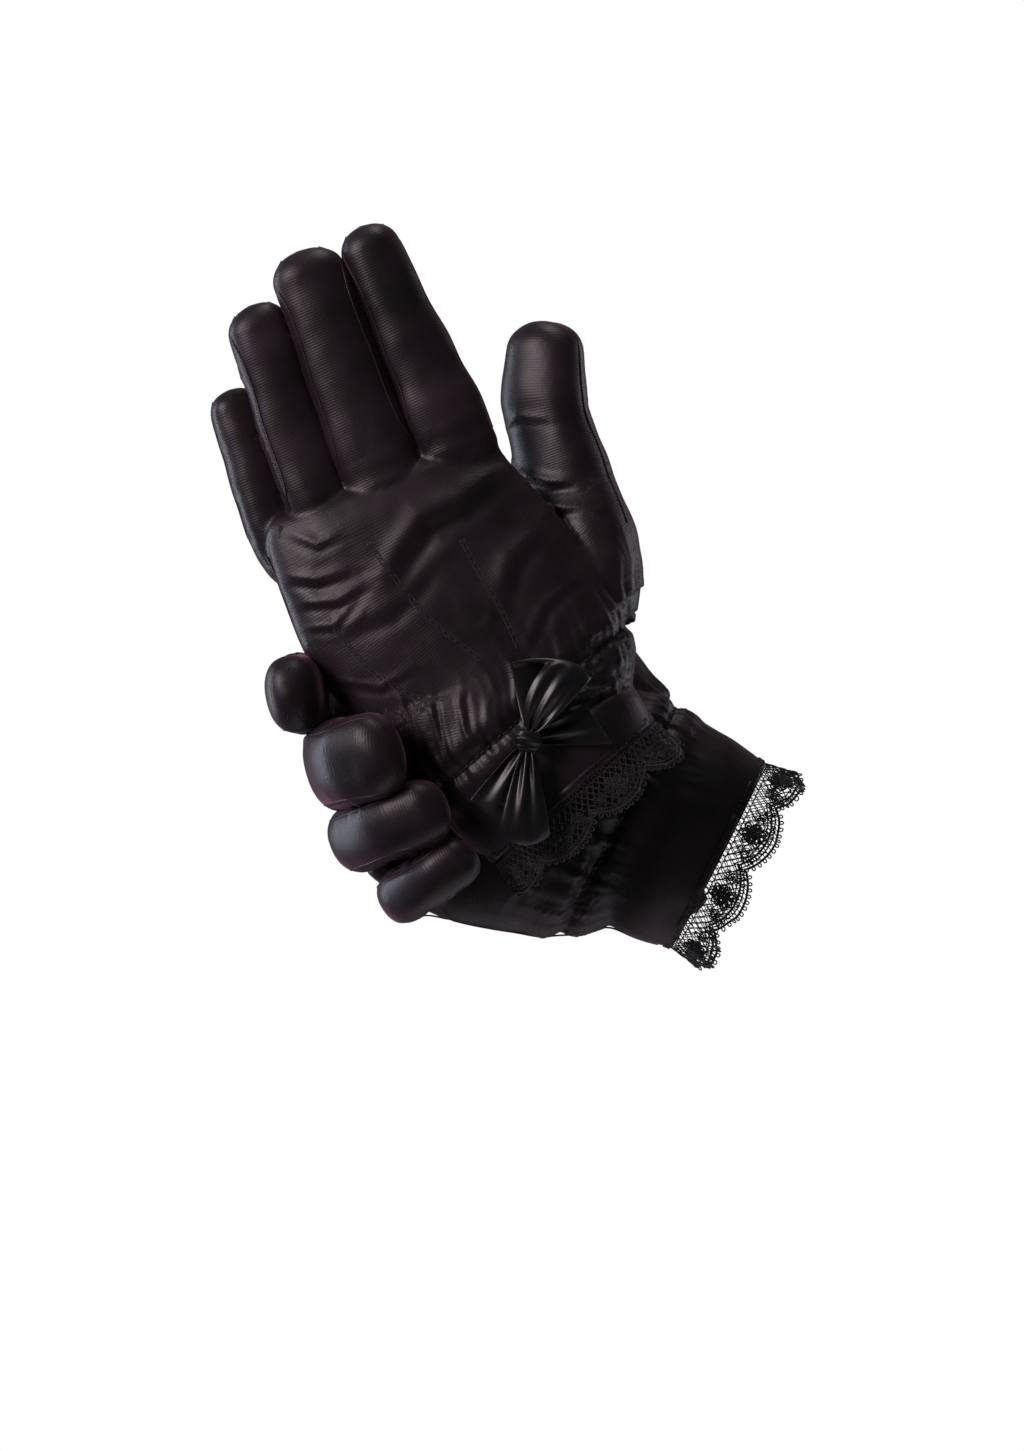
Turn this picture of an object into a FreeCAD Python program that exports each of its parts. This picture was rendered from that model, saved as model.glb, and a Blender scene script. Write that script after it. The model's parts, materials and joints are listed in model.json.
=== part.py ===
import FreeCAD, Part
import math
import os
import Sketcher

from FreeCAD import Placement, Rotation, Vector

# A pair of short satin dress gloves, hollow and in a worn pose: the left glove stands upright with
# its back to -Y, and the right glove lies behind it with its finger stalls curled round its edge.
# The origin is the centre of the left glove's wrist opening. +Z runs to the left fingertips,
# +X is the left thumb side, and +Y the left palm side. Every length is in millimetres.

FINGERS = ("index", "middle", "ring", "little")
HANDS = ("left", "right")
SEGMENTS = ("proximal", "middle", "tip")
STALL_SIDES = 8
HAND_SIDES = 12
LACE_SIDES = 16

# Driving dimensions. They go into the sheet under these names, and everything reads them there.
COMMON = {
    "fabric": 1.2,
    "seam_allowance": 0.3,
    "stall_bend": 80.0,
    "joint_bend": 90.0,
    "wrist_bend": 30.0,
    "wrist_lift": 5.0,
    "thumb_bend": 60.0,
    "tip_round": 0.35,
    "wrist_half_across": 37.0,
    "wrist_half_depth": 20.0,
    "hem_half_across": 33.0,
    "hem_half_depth": 21.0,
    "band_height": 9.0,
    "elastic_height": 4.0,
    "elastic_thickness": 1.0,
    "hem_height": 2.4,
    "lace_flare": 1.5,
    "lace_peak": 14.0,
    "lace_cusp": 9.0,
    "lace_thickness": 0.8,
    "knot_across": 11.0,
    "knot_depth": 9.0,
    "knot_height": 21.0,
    "ribbon_root": 4.0,
    "loop_length": 20.0,
    "loop_end": 20.0,
    "loop_depth": 5.0,
    "tail_length": 19.0,
    "tail_end": 14.0,
    "tail_depth": 1.4,
    "stitch_width": 1.2,
    "stitch_height": 0.8,
}

# Each stall: the lengths of its three segments, then its width and depth at root, knuckle and tip.
STALL_LENGTHS = {
    "index": (20.0, 23.0, 24.0),
    "middle": (22.0, 24.0, 23.0),
    "ring": (20.0, 22.0, 20.0),
    "little": (15.0, 15.5, 16.5),
}
STALL_SECTIONS = {
    "index": (20.6, 17.4, 19.8, 16.6, 18.6, 15.4),
    "middle": (22.4, 18.0, 22.2, 17.2, 21.2, 15.8),
    "ring": (16.8, 16.6, 16.8, 15.8, 16.2, 14.6),
    "little": (13.4, 14.6, 12.8, 14.0, 11.6, 12.6),
}
THUMB_LENGTHS = {"lower": 23.5, "tip": 28.0}
THUMB_SECTIONS = {"root": (28.0, 24.0), "knuckle": (26.0, 21.0), "end": (19.0, 16.0)}

# Where each stall's root ring is centred, its direction in the XZ plane, the side roll, and the
# bends of its root, base knuckle, middle knuckle and end knuckle, all in degrees.
STALL_POSES = {
    "left": {
        "index": (18.8, 0.0, 113.0, 86.3, 0.0, 0.0, 0.0, 0.0, 0.0),
        "middle": (-5.9, -0.5, 114.0, 84.4, 0.0, 0.0, 0.0, 0.0, 0.0),
        "ring": (-26.9, 1.5, 113.0, 85.3, 4.0, 0.0, 0.0, 0.0, 0.0),
        "little": (-44.1, 8.0, 109.4, 82.8, 10.0, 0.0, 0.0, 0.0, 0.0),
    },
    "right": {
        "index": (-20.8, 52.0, 51.8, 160.0, 0.0, 25.0, 30.0, 18.0, 12.0),
        "middle": (-33.3, 44.0, 34.8, 167.0, 0.0, 35.0, 35.0, 30.0, 40.0),
        "ring": (-44.3, 37.0, 16.3, 175.0, 0.0, 45.0, 30.0, 50.0, 43.0),
        "little": (-52.6, 25.0, -3.3, 185.0, 0.0, 60.0, 30.0, 45.0, 40.0),
    },
}
ROOT_LENGTHS = {
    "left": {"index": 6.0, "middle": 6.0, "ring": 6.0, "little": 5.2},
    "right": {"index": 27.0, "middle": 27.0, "ring": 25.0, "little": 18.4},
}

# Thumb: the base knuckle, then the direction of its two segments in the XZ plane, the lean of
# that plane's palm side towards the fingers' side, and the gusset's lower end.
THUMB_POSES = {
    "left": (44.2, 15.0, 86.8, 80.0, 61.0, -30.0, 35.0, 11.0, 46.0),
    "right": (13.0, 62.0, 55.0, 126.0, 118.0, 30.0, 37.0, 60.0, 14.0),
}

# Hand sections from the wrist up: the centre, the direction across the hand in the XZ plane, the
# depth that the line across gains towards +X, half the breadth and half the thickness.
HAND_SECTIONS = {
    "left": {
        "heel": (-2.6, 0.0, 45.0, 0.0, 0.0, 43.5, 18.0),
        "palm": (-8.5, 0.0, 72.0, 0.0, 0.0, 45.0, 15.5),
        "upper": (-9.8, 0.0, 97.0, 0.0, 0.0, 41.5, 13.0),
        "knuckles": (-8.8, 1.0, 109.5, 2.4, 0.0, 38.4, 10.7),
    },
    "right": {
        "heel": (-2.0, 46.0, -5.0, 45.0, 4.0, 42.0, 18.5),
        "palm": (-19.3, 42.5, 6.8, 57.0, 12.0, 43.0, 16.5),
        "upper": (-32.0, 41.5, 18.0, 60.0, 19.0, 42.5, 14.0),
        "knuckles": (-36.6, 41.0, 26.3, 61.4, 19.6, 36.0, 13.2),
    },
}

# Wrist: the joint's centre, the direction from the wrist opening to the hand in the XZ plane, and
# the length of the cuff below the joint.
WRISTS = {
    "left": (-4.7, 0.0, 19.4, 103.6, 20.0),
    "right": (16.6, 47.5, -19.5, 125.0, 26.0),
}


def fill_sheet(doc):
    """Writes every driving dimension into a spreadsheet cell with an alias."""
    sheet = doc.addObject("Spreadsheet::Sheet", "sizes")
    names = dict(COMMON)
    for finger in FINGERS:
        for segment, value in zip(SEGMENTS, STALL_LENGTHS[finger]):
            names[f"{finger}_{segment}_length"] = value
        for key, value in zip(
            ("root_across", "root_depth", "knuckle_across", "knuckle_depth", "tip_across", "tip_depth"),
            STALL_SECTIONS[finger],
        ):
            names[f"{finger}_{key}"] = value
    for segment, value in THUMB_LENGTHS.items():
        names[f"thumb_{segment}_length"] = value
    for place, (across, depth) in THUMB_SECTIONS.items():
        names[f"thumb_{place}_across"] = across
        names[f"thumb_{place}_depth"] = depth
    for hand in HANDS:
        for finger in FINGERS:
            keys = ("x", "y", "z", "turn", "roll", "root_lean", "base_lean", "middle_lean", "end_lean")
            for key, value in zip(keys, STALL_POSES[hand][finger]):
                names[f"{hand}_{finger}_{key}"] = value
            names[f"{hand}_{finger}_root"] = ROOT_LENGTHS[hand][finger]
        keys = ("x", "y", "z", "turn", "end_turn", "lean", "gusset_x", "gusset_y", "gusset_z")
        for key, value in zip(keys, THUMB_POSES[hand]):
            names[f"{hand}_thumb_{key}"] = value
        for section, values in HAND_SECTIONS[hand].items():
            keys = ("x", "y", "z", "turn", "rise", "half_across", "half_depth")
            for key, value in zip(keys, values):
                names[f"{hand}_{section}_{key}"] = value
        for key, value in zip(("x", "y", "z", "turn", "cuff"), WRISTS[hand]):
            names[f"{hand}_wrist_{key}"] = value
    for row, (name, value) in enumerate(names.items(), start=1):
        sheet.set(f"A{row}", name)
        sheet.set(f"B{row}", str(value))
        sheet.setAlias(f"B{row}", name)
    doc.recompute()
    return sheet


class Ring:
    """One elliptical section: its centre, unit vectors across and along, and its half sizes."""

    def __init__(self, centre, across, along, half_across, half_depth):
        self.centre = centre
        self.across = across.normalize()
        self.palmar = along.cross(self.across).normalize()
        self.along = self.across.cross(self.palmar)
        self.half_across = half_across
        self.half_depth = half_depth

    def corner(self, degrees, inset, slope=0.0, slope_back=0.0):
        """The point at an angle; slopes cut the ring's end back towards palm or back side."""
        angle = math.radians(degrees)
        out = (self.half_across - inset) * math.cos(angle)
        deep = (self.half_depth - inset) * math.sin(angle)
        lift = deep * slope if deep > 0 else -deep * slope_back
        return self.centre + self.across * out + self.palmar * deep + self.along * lift


def corners(ring, sides, inset, slope=0.0, slope_back=0.0):
    step = 360.0 / sides
    return [ring.corner((side + 0.5) * step, inset, slope, slope_back) for side in range(sides)]


def quad(points):
    return Part.makePolygon(list(points) + [points[0]])


def block(first, second):
    """The solid between two four-cornered outlines."""
    return Part.makeLoft([quad(first), quad(second)], True, True)


def staves(first, second, sides, thickness, wanted=None, slopes=((0.0, 0.0), (0.0, 0.0)), inset=0.0):
    """A fabric wall between two rings, as one flat panel per side."""
    outer_a = corners(first, sides, inset, *slopes[0])
    inner_a = corners(first, sides, inset + thickness, *slopes[0])
    outer_b = corners(second, sides, inset, *slopes[1])
    inner_b = corners(second, sides, inset + thickness, *slopes[1])
    panels = []
    for side in range(sides) if wanted is None else wanted:
        after = (side + 1) % sides
        panels.append(
            block(
                (outer_a[side], outer_a[after], inner_a[after], inner_a[side]),
                (outer_b[side], outer_b[after], inner_b[after], inner_b[side]),
            )
        )
    return panels


def plane_vector(degrees):
    angle = math.radians(degrees)
    return Vector(math.cos(angle), 0.0, math.sin(angle))


class Gloves:
    """Builds the sub-parts of both gloves in one document."""

    def __init__(self, doc, sheet):
        self.doc = doc
        self.sheet = sheet
        self.parts = []

    def size(self, name):
        return float(self.sheet.get(name))

    def fabric(self):
        return self.size("fabric")

    def panel_part(self, label, panels, placement=None):
        """Fabric panels wrap a hand as a ring of flat facets, so they are made as one compound."""
        part = self.doc.addObject("Part::Feature", label)
        part.Label = label
        part.Shape = Part.makeCompound(panels)
        if placement is not None:
            part.Placement = placement
        self.parts.append(part)
        return part

    # Poses

    def palm_side(self, hand):
        """The world direction that the hand's palm faces."""
        return Vector(0, 1, 0) if hand == "left" else Vector(0, -1, 0)

    def stall_frames(self, hand, finger):
        """The start and direction of the root and of each segment, walking along the stall."""
        key = f"{hand}_{finger}_"
        start = Vector(self.size(key + "x"), self.size(key + "y"), self.size(key + "z"))
        along = plane_vector(self.size(key + "turn"))
        roll = Rotation(along, self.size(key + "roll") * (1 if hand == "left" else -1))
        inward = roll.multVec(self.palm_side(hand))
        lengths = [self.size(key + "root")]
        lengths += [self.size(f"{finger}_{segment}_length") for segment in SEGMENTS]
        lean = 0.0
        frames = []
        for name, length in zip(("root", "base", "middle", "end"), lengths):
            lean += math.radians(self.size(f"{key}{name}_lean"))
            direction = along * math.cos(lean) + inward * math.sin(lean)
            palmar = inward * math.cos(lean) - along * math.sin(lean)
            frames.append((start, direction, palmar, length))
            start = start + direction * length
        return frames

    def thumb_frames(self, hand):
        key = f"{hand}_thumb_"
        start = Vector(self.size(key + "x"), self.size(key + "y"), self.size(key + "z"))
        frames = []
        for turn, segment in (("turn", "lower"), ("end_turn", "tip")):
            along = plane_vector(self.size(key + turn))
            lean = Rotation(along, self.size(key + "lean"))
            palmar = lean.multVec(self.palm_side(hand))
            length = self.size(f"thumb_{segment}_length")
            frames.append((start, along, palmar, length))
            start = start + along * length
        return frames

    def frame_placement(self, frame):
        """A local frame with its origin at the knuckle, +Z along the stall and +Y to the palm."""
        start, direction, palmar, _ = frame
        return Placement(start, Rotation(palmar.cross(direction), palmar, direction))

    def wrist_frame(self, hand):
        key = f"{hand}_wrist_"
        centre = Vector(self.size(key + "x"), self.size(key + "y"), self.size(key + "z"))
        return centre, plane_vector(self.size(key + "turn"))

    def cuff_placement(self, hand):
        """The cuff's own frame: its origin at the wrist opening, +Z to the hand, +Y to the palm."""
        centre, along = self.wrist_frame(hand)
        start = centre - along * self.size(f"{hand}_wrist_cuff")
        return self.frame_placement((start, along, self.palm_side(hand), 0.0))

    # Finger stalls

    def stall_ring(self, height, across, depth, tilt=0.0):
        """A section of a stall; a tilt in degrees leans it sideways towards the across side."""
        lean = math.radians(tilt)
        line = Vector(math.cos(lean), 0, -math.sin(lean))
        along = Vector(math.sin(lean), 0, math.cos(lean))
        return Ring(Vector(0, 0, height), line, along, across / 2, depth / 2)

    def closed_end(self, ring, tip):
        """The rounded end of a stall: two narrowing bands and a small end panel."""
        thickness = self.fabric()
        share = self.size("tip_round")
        drop = ring.half_depth
        shoulder = Ring(
            ring.centre + ring.along * (drop * 0.7),
            Vector(ring.across),
            ring.along,
            ring.half_across * 0.74,
            ring.half_depth * 0.74,
        )
        crown = Ring(
            Vector(0, 0, tip), Vector(ring.across), ring.along, ring.half_across * share, ring.half_depth * share
        )
        panels = staves(ring, shoulder, STALL_SIDES, thickness)
        panels += staves(shoulder, crown, STALL_SIDES, thickness)
        plug = corners(crown, STALL_SIDES, thickness)
        face = Part.Face(Part.makePolygon(plug + [plug[0]]))
        panels.append(face.extrude(ring.along * -thickness))
        return panels

    def segment(self, label, frame, first, second, bends, closed, tilts=(0.0, 0.0)):
        """One stretch of a stall between two knuckles, cut back on its palm side for each bend."""
        length = frame[3]
        gap = self.size("seam_allowance")
        low, high = (math.tan(math.radians(bend / 2)) for bend in bends)
        lower = self.stall_ring(gap / 2, *first, tilts[0])
        if closed:
            upper = self.stall_ring(length - second[1] * 0.5, *second)
        else:
            upper = self.stall_ring(length - gap / 2, *second, tilts[1])
        slopes = ((low, 0.0), (0.0 if closed else -high, 0.0))
        panels = staves(lower, upper, STALL_SIDES, self.fabric(), None, slopes)
        if closed:
            panels += self.closed_end(upper, length)
        self.panel_part(label, panels, self.frame_placement(frame))

    def stall_sections(self, finger):
        return [
            (self.size(f"{finger}_{place}_across"), self.size(f"{finger}_{place}_depth"))
            for place in ("root", "knuckle", "tip")
        ]

    def knuckle_bends(self, hand, finger):
        """How far each knuckle moves from rest: closing on the left glove, opening on the right."""
        if hand == "left":
            return self.size("stall_bend"), self.size("joint_bend"), self.size("joint_bend") * 2 / 3
        key = f"{hand}_{finger}_"
        return tuple(self.size(f"{key}{name}_lean") for name in ("base", "middle", "end"))

    def stall(self, hand, finger):
        frames = self.stall_frames(hand, finger)[1:]
        root, knuckle, tip = self.stall_sections(finger)
        middle = tuple((a + b) / 2 for a, b in zip(root, knuckle))
        base, second, third = self.knuckle_bends(hand, finger)
        label = f"{hand}_{finger}_"
        self.segment(label + "proximal", frames[0], root, middle, (base, second), False)
        self.segment(label + "middle", frames[1], middle, knuckle, (second, third), False)
        self.segment(label + "tip", frames[2], knuckle, tip, (third, 0.0), True)

    def thumb(self, hand):
        lower, end = self.thumb_frames(hand)
        root, knuckle, tip = (
            (self.size(f"thumb_{place}_across"), self.size(f"thumb_{place}_depth"))
            for place in ("root", "knuckle", "end")
        )
        bend = self.size("thumb_bend")
        turned = self.size(f"{hand}_thumb_turn") - self.size(f"{hand}_thumb_end_turn")
        sideways = turned / 2 * (1 if hand == "left" else -1)
        self.segment(f"{hand}_thumb_lower", lower, root, knuckle, (bend / 2, bend), False, (0.0, sideways))
        self.segment(f"{hand}_thumb_tip", end, knuckle, tip, (bend, 0.0), True, (-sideways, 0.0))

    def thumb_gusset(self, hand):
        """The set-in base of the thumb: three panels on its outer and palm sides."""
        frame = self.thumb_frames(hand)[0]
        start, along, palmar, _ = frame
        key = f"{hand}_thumb_gusset_"
        foot = Vector(self.size(key + "x"), self.size(key + "y"), self.size(key + "z"))
        across = palmar.cross(along)
        root = (self.size("thumb_root_across") / 2, self.size("thumb_root_depth") / 2)
        slope = math.tan(math.radians(self.size("thumb_bend") / 4))
        gap = self.size("seam_allowance")
        top = Ring(start - along * gap, Vector(across), along, *root)
        direction = (start - foot).normalize()
        bottom = Ring(foot, Vector(across), direction, root[0] * 0.93, root[1] * 0.9)
        outer = (7, 0, 1) if hand == "left" else (1, 2, 3)
        panels = staves(bottom, top, STALL_SIDES, self.fabric(), outer, ((0.0, 0.0), (-slope, 0.0)))
        self.panel_part(f"{hand}_thumb_gusset", panels)

    # Hand

    def hand_rings(self, hand):
        """The sections of the hand from the wrist band's top to the knuckles."""
        centre, along = self.wrist_frame(hand)
        half = self.size("wrist_half_across"), self.size("wrist_half_depth")
        across = self.palm_side(hand).cross(along)
        band = Ring(centre + along * self.size("band_height"), across, along, *half)
        rings = [band]
        before = band.centre
        for section in HAND_SECTIONS[hand]:
            key = f"{hand}_{section}_"
            at = Vector(self.size(key + "x"), self.size(key + "y"), self.size(key + "z"))
            line = plane_vector(self.size(key + "turn"))
            line = (line * math.cos(math.radians(self.size(key + "rise")))) + Vector(
                0, math.sin(math.radians(self.size(key + "rise"))), 0
            )
            if hand == "right":
                line = -line
            direction = (at - before).normalize()
            rings.append(
                Ring(at, line, direction, self.size(key + "half_across"), self.size(key + "half_depth"))
            )
            before = at
        return rings

    def root_rings(self, hand, finger):
        """The fixed root of a stall, from the knuckle row to the base knuckle."""
        start, direction, palmar, length = self.stall_frames(hand, finger)[0]
        across = palmar.cross(direction)
        half = self.stall_sections(finger)[0]
        ring_a = Ring(start, Vector(across), direction, half[0] / 2, half[1] / 2)
        gap = self.size("seam_allowance")
        end = start + direction * (length - gap / 2)
        ring_b = Ring(end, Vector(across), direction, half[0] / 2, half[1] / 2)
        return ring_a, ring_b

    def root_slopes(self, hand, finger):
        base = self.knuckle_bends(hand, finger)[0]
        return -math.tan(math.radians(base / 2)), 0.0

    def hand_panels(self, hand):
        """Back panel, palm panel and the narrow crotch pieces between the stalls."""
        rings = self.hand_rings(hand)
        palm_sides = (0, 1, 2, 3, 4)
        back_sides = (5, 6, 7, 8, 9, 10, 11)
        back = []
        palm = []
        for first, second in zip(rings, rings[1:]):
            back += staves(first, second, HAND_SIDES, self.fabric(), back_sides)
            palm += staves(first, second, HAND_SIDES, self.fabric(), palm_sides)
        roots = {}
        for finger in FINGERS:
            ring_a, ring_b = self.root_rings(hand, finger)
            slopes = ((0.0, 0.0), self.root_slopes(hand, finger))
            thickness = self.fabric()
            back += staves(ring_a, ring_b, STALL_SIDES, thickness, (3, 4, 5, 6, 7), slopes)
            palm += staves(ring_a, ring_b, STALL_SIDES, thickness, (0, 1, 2), slopes)
            roots[finger] = (ring_a, ring_b)
        self.panel_part(f"{hand}_back_panel", back)
        self.panel_part(f"{hand}_palm_panel", palm)
        self.crotch_webs(hand, roots)

    def crotch_webs(self, hand, roots):
        """The foot of each side strip, bridging the roots of two neighbouring stalls."""
        sign = 1 if hand == "left" else -1
        webs = []
        for first, second in zip(FINGERS, FINGERS[1:]):
            near_side, far_side = (3, 7) if sign > 0 else (7, 3)
            webs.append(
                block(
                    self.side_patch(roots[first], near_side),
                    self.side_patch(roots[second], far_side, flipped=True),
                )
            )
        self.panel_part(f"{hand}_crotch_webs", webs)

    def side_patch(self, rings, side, flipped=False):
        """The lower half of a root's side panel, as four corners."""
        low = corners(rings[0], STALL_SIDES, 0.0)
        high = corners(rings[1], STALL_SIDES, 0.0)
        after = (side + 1) % STALL_SIDES
        middle = [(low[k] + high[k]) * 0.5 for k in (side, after)]
        patch = (low[side], low[after], middle[1], middle[0])
        return (patch[1], patch[0], patch[3], patch[2]) if flipped else patch

    def point_lines(self, hand):
        """Three raised stitch lines on the back of the hand."""
        rings = self.hand_rings(hand)
        width = self.size("stitch_width")
        height = self.size("stitch_height")
        lift = 0.02
        lines = []
        for side, share in ((7, 0.35), (8, 0.25), (8, 0.85)):
            for first, second in ((rings[1], rings[2]), (rings[2], rings[3])):
                ends = []
                for ring in (first, second):
                    edge = corners(ring, HAND_SIDES, 0.0)
                    a, b = edge[side], edge[(side + 1) % HAND_SIDES]
                    side_way = (b - a).normalize()
                    out = side_way.cross(ring.along).normalize()
                    if out.dot(ring.palmar) > 0:
                        out = -out
                    middle = a + (b - a) * share
                    foot = [middle + side_way * (width * k) + out * lift for k in (-0.5, 0.5)]
                    ends.append((foot[0], foot[1], foot[1] + out * height, foot[0] + out * height))
                lines.append(block(*ends))
        self.panel_part(f"{hand}_point_stitches", lines)

    # Wrist and cuff

    def cuff_ring(self, height, half_across, half_depth):
        return Ring(Vector(0, 0, height), Vector(1, 0, 0), Vector(0, 0, 1), half_across, half_depth)

    def wrist_slopes(self, sign):
        """The cut on the palm side and the back that clears the wrist's bend and lift."""
        bend, lift = (math.tan(math.radians(self.size(name) / 2)) for name in ("wrist_bend", "wrist_lift"))
        return sign * bend, sign * lift

    def wrist_band(self, hand):
        """The ruched wrist and its elastic, cut away below for the wrist's bend."""
        placement = self.cuff_placement(hand)
        joint = self.size(f"{hand}_wrist_cuff")
        half = self.size("wrist_half_across"), self.size("wrist_half_depth")
        gap = self.size("seam_allowance")
        lower = self.cuff_ring(joint + gap / 2, half[0] - 1.0, half[1] - 0.5)
        upper = self.cuff_ring(joint + self.size("band_height") - gap / 6, *half)
        slopes = (self.wrist_slopes(1), (0.0, 0.0))
        thickness = self.fabric()
        band = staves(lower, upper, HAND_SIDES, thickness, None, slopes)
        self.panel_part(f"{hand}_wrist_band", band, placement)
        top = joint + self.size("band_height") - 0.6
        foot = top - self.size("elastic_height") / 2
        inner = [self.cuff_ring(height, half[0] - 0.3, half[1] - 0.3) for height in (foot, top)]
        strip = self.size("elastic_thickness")
        elastic = staves(*inner, HAND_SIDES, strip, None, ((0.0, 0.0), (0.0, 0.0)), thickness + 0.25)
        self.panel_part(f"{hand}_wrist_elastic", elastic, placement)

    def cuff(self, hand):
        placement = self.cuff_placement(hand)
        joint = self.size(f"{hand}_wrist_cuff")
        hem = self.size("hem_half_across"), self.size("hem_half_depth")
        wrist = self.size("wrist_half_across") - 1.5, self.size("wrist_half_depth") - 0.5
        gap = self.size("seam_allowance")
        lower = self.cuff_ring(self.size("hem_height"), *hem)
        upper = self.cuff_ring(joint - gap / 2, *wrist)
        slopes = ((0.0, 0.0), self.wrist_slopes(-1))
        walls = staves(lower, upper, HAND_SIDES, self.fabric(), None, slopes)
        self.panel_part(f"{hand}_cuff", walls, placement)
        edge = self.cuff_ring(0.0, *hem)
        fold = self.cuff_ring(self.size("hem_height"), *hem)
        facing = staves(edge, fold, HAND_SIDES, self.fabric())
        self.panel_part(f"{hand}_hem_facing", facing, placement)

    def lace(self, hand):
        """The scalloped trim under the hem: one peak and one cusp in turn round its edge."""
        placement = self.cuff_placement(hand)
        hem = self.size("hem_half_across"), self.size("hem_half_depth")
        flare = self.size("lace_flare")
        peak, cusp = self.size("lace_peak"), self.size("lace_cusp")
        thickness = self.size("lace_thickness")
        top = self.cuff_ring(0.0, *hem)
        deep = self.cuff_ring(-peak, hem[0] + flare, hem[1] + flare)
        shallow = self.cuff_ring(-cusp, hem[0] + flare * cusp / peak, hem[1] + flare * cusp / peak)
        panels = []
        upper = [corners(top, LACE_SIDES, inset) for inset in (0.0, thickness)]
        low = [corners(deep, LACE_SIDES, inset) for inset in (0.0, thickness)]
        high = [corners(shallow, LACE_SIDES, inset) for inset in (0.0, thickness)]
        for side in range(LACE_SIDES):
            after = (side + 1) % LACE_SIDES
            edge = [low if k % 2 else high for k in (side, side + 1)]
            first = (upper[0][side], upper[0][after], upper[1][after], upper[1][side])
            outer_a, outer_b, inner_a = edge[0][0][side], edge[1][0][after], edge[0][1][side]
            level = (outer_b - outer_a).cross(inner_a - outer_a)
            inner_b = Vector(edge[1][1][after])
            inner_b.z -= level.dot(inner_b - outer_a) / level.z
            panels.append(block(first, (outer_a, outer_b, inner_b, inner_a)))
        self.panel_part(f"{hand}_lace_trim", panels, placement)

    # Bow

    def bow_placement(self, hand, turn, reach, layer):
        """A place on the back of the cuff: +Y runs out from the knot, and +X out of the cloth."""
        side = 1 if hand == "left" else -1
        angle = math.radians(turn)
        way = Vector(math.cos(angle) * side, 0, math.sin(angle))
        out = Vector(0, -1, 0)
        clear = self.size("hem_half_depth") + self.size("seam_allowance") * 2 + layer
        start = Vector(0, -clear, self.size("knot_height")) + way * reach
        local = Placement(start, Rotation(out, way, out.cross(way)))
        return self.cuff_placement(hand).multiply(local)

    def knot(self, hand):
        """The knot of the bow: a round pad, drawn as a body."""
        label = f"{hand}_bow_knot"
        body = self.doc.addObject("PartDesign::Body", label)
        body.Label = label
        plane = next(f for f in body.Origin.OriginFeatures if f.Role == "YZ_Plane")
        sketch = body.newObject("Sketcher::SketchObject", label + "_outline")
        sketch.AttachmentSupport = (plane, [""])
        sketch.MapMode = "FlatFace"
        sketch.addGeometry(Part.Circle(Vector(0, 0, 0), Vector(0, 0, 1), 5.0), False)
        sketch.addConstraint(Sketcher.Constraint("Coincident", 0, 3, -1, 1))
        sketch.addConstraint(Sketcher.Constraint("Radius", 0, 5.0))
        sketch.setExpression("Constraints[1]", "sizes.knot_across / 2")
        pad = body.newObject("PartDesign::Pad", label + "_pad")
        pad.Profile = sketch
        pad.setExpression("Length", "sizes.knot_depth")
        body.Placement = self.bow_placement(hand, 0.0, 0.0, 0.0)
        self.parts.append(body)

    def ribbon(self, label, kind, placement):
        """A flat pad that widens from the knot, as a wedge bound to the sheet."""
        part = self.doc.addObject("Part::Wedge", label)
        part.Label = label
        limits = {
            "Xmin": "0",
            "Xmax": f"sizes.{kind}_depth",
            "Ymin": "0",
            "Ymax": f"sizes.{kind}_length",
            "Zmin": "-sizes.ribbon_root / 2",
            "Zmax": "sizes.ribbon_root / 2",
            "X2min": "0",
            "X2max": f"sizes.{kind}_depth",
            "Z2min": f"-sizes.{kind}_end / 2",
            "Z2max": f"sizes.{kind}_end / 2",
        }
        for name, expression in limits.items():
            part.setExpression(name, expression)
        part.Placement = placement
        self.parts.append(part)

    def bow(self, hand):
        self.knot(hand)
        reach = self.size("knot_across") / 2 + self.size("seam_allowance")
        above = self.size("tail_depth") + self.size("seam_allowance")
        for name, kind, turn, layer in (
            ("bow_loop_upper", "loop", 30.0, above),
            ("bow_loop_lower", "loop", 226.0, above),
            ("bow_tail_outer", "tail", -28.0, 0.0),
            ("bow_tail_inner", "tail", 200.0, 0.0),
        ):
            self.ribbon(f"{hand}_{name}", kind, self.bow_placement(hand, turn, reach, layer))

    def build(self):
        for hand in HANDS:
            self.hand_panels(hand)
            self.point_lines(hand)
            for finger in FINGERS:
                self.stall(hand, finger)
            self.thumb_gusset(hand)
            self.thumb(hand)
            self.wrist_band(hand)
            self.cuff(hand)
            self.lace(hand)
            self.bow(hand)


def main():
    doc = FreeCAD.newDocument("gloves")
    sheet = fill_sheet(doc)
    gloves = Gloves(doc, sheet)
    gloves.build()
    doc.recompute()
    for item in doc.Objects:
        for state in item.State:
            if state in ("Invalid", "Error"):
                raise RuntimeError(f"{item.Label} did not compute")
    os.makedirs("parts", exist_ok=True)
    for part in gloves.parts:
        if part.Shape.isNull() or not part.Shape.isValid():
            raise RuntimeError(f"{part.Label} has no valid shape")
    for part in gloves.parts:
        part.Shape.exportStep(f"parts/{part.Label}.step")
    return gloves


main()
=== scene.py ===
"""A pair of black satin dress gloves with a ribbon bow and a lace hem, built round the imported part.

All shapes are worked out in millimetres in the part's own frame and become metres in new_object.
"""

import json
import math

import bpy
import numpy as np
from mathutils import Matrix, Vector, noise
from mathutils.bvhtree import BVHTree


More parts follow.
